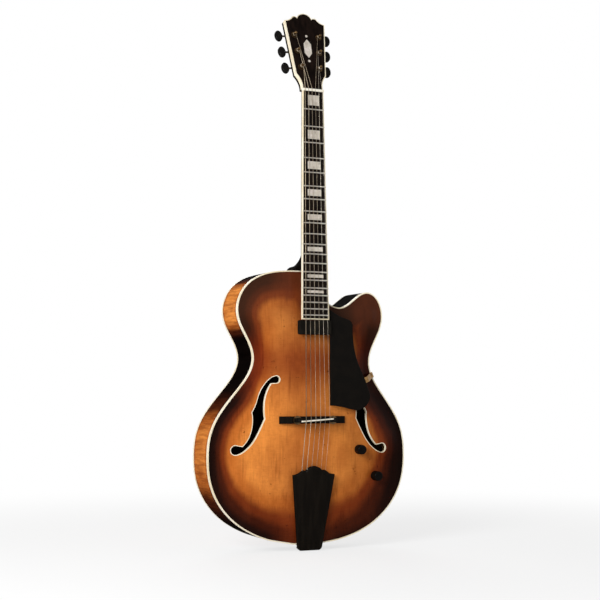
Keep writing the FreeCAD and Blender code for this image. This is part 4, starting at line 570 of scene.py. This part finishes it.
# Studio: white to the eye, with a soft key light from the front left
def white_world():
    world = bpy.data.worlds.new("studio")
    bpy.context.scene.world = world
    world.use_nodes = True
    nodes = world.node_tree.nodes
    links = world.node_tree.links
    path = nodes.new("ShaderNodeLightPath")
    seen = path.outputs["Is Camera Ray"]
    for name in ("Is Glossy Ray", "Is Transmission Ray"):
        either = nodes.new("ShaderNodeMath")
        either.operation = "MAXIMUM"
        links.new(seen, either.inputs[0])
        links.new(path.outputs[name], either.inputs[1])
        seen = either.outputs[0]
    level = nodes.new("ShaderNodeMapRange")
    level.inputs["To Min"].default_value = AMBIENT
    links.new(seen, level.inputs["Value"])
    background = nodes["Background"]
    background.inputs["Color"].default_value = WHITE
    links.new(level.outputs[0], background.inputs["Strength"])


def floor_material():
    """White far away, and painted near the object so that it keeps the shadow."""
    material = bpy.data.materials.new("pale_floor")
    material.use_nodes = True
    nodes = material.node_tree.nodes
    links = material.node_tree.links
    nodes.remove(nodes["Principled BSDF"])
    path = nodes.new("ShaderNodeLightPath")
    paint = nodes.new("ShaderNodeBsdfDiffuse")
    paint.inputs["Color"].default_value = FLOOR_PAINT
    glow = nodes.new("ShaderNodeEmission")
    place = nodes.new("ShaderNodeTexCoord")
    away = nodes.new("ShaderNodeVectorMath")
    away.operation = "LENGTH"
    links.new(place.outputs["Object"], away.inputs[0])
    clear = nodes.new("ShaderNodeMapRange")
    clear.interpolation_type = "SMOOTHSTEP"
    clear.inputs["From Min"].default_value = FLOOR_CLEAR[0]
    clear.inputs["From Max"].default_value = FLOOR_CLEAR[1]
    clear.inputs["To Min"].default_value = FLOOR_GLOW
    links.new(away.outputs["Value"], clear.inputs["Value"])
    level = nodes.new("ShaderNodeMapRange")
    links.new(path.outputs["Is Camera Ray"], level.inputs["Value"])
    links.new(clear.outputs[0], level.inputs["To Max"])
    blend = nodes.new("ShaderNodeMixShader")
    links.new(level.outputs[0], blend.inputs[0])
    links.new(paint.outputs[0], blend.inputs[1])
    links.new(glow.outputs[0], blend.inputs[2])
    links.new(blend.outputs[0], nodes["Material Output"].inputs["Surface"])
    return material


def make_floor():
    half = FLOOR_SIZE / 2
    level = CAD_BOX[0][2]
    mesh = bpy.data.meshes.new("floor")
    corners = [(-half, -half, level), (half, -half, level), (half, half, level), (-half, half, level)]
    mesh.from_pydata(corners, [], [(0, 1, 2, 3)])
    mesh.materials.append(floor_material())
    floor = add_piece("floor", mesh)


def lamp(name, place, power, size):
    data = bpy.data.lights.new(name, "AREA")
    data.energy = power
    data.shape = "DISK"
    data.size = size
    made = bpy.data.objects.new(name, data)
    made.location = place
    made.rotation_euler = (TARGET - Vector(place)).to_track_quat("-Z", "Y").to_euler()
    bpy.context.scene.collection.objects.link(made)


def make_camera():
    turn, tilt, roll = [math.radians(a) for a in (AZIMUTH, ELEVATION, ROLL)]
    back = Vector((math.sin(turn) * math.cos(tilt), -math.cos(turn) * math.cos(tilt), math.sin(tilt)))
    right = Vector((math.cos(turn), math.sin(turn), 0.0))
    up = back.cross(right)
    across = right * math.cos(roll) - up * math.sin(roll)
    above = right * math.sin(roll) + up * math.cos(roll)
    data = bpy.data.cameras.new("camera")
    data.sensor_width = SENSOR
    data.lens = FOCAL_PIXELS * SENSOR / FRAME_SIZE
    data.shift_x = (FRAME_SIZE / 2 - CENTRE_PIXEL[0]) / FRAME_SIZE
    data.shift_y = (CENTRE_PIXEL[1] - FRAME_SIZE / 2) / FRAME_SIZE
    camera = bpy.data.objects.new("camera", data)
    facing = Matrix((across, above, back)).transposed().to_4x4()
    camera.matrix_world = Matrix.Translation(TARGET + back * DISTANCE) @ facing
    bpy.context.scene.collection.objects.link(camera)
    bpy.context.scene.camera = camera


white_world()
make_floor()
for settings in LAMPS:
    lamp(*settings)
make_camera()
bpy.context.scene.view_settings.view_transform = "Standard"
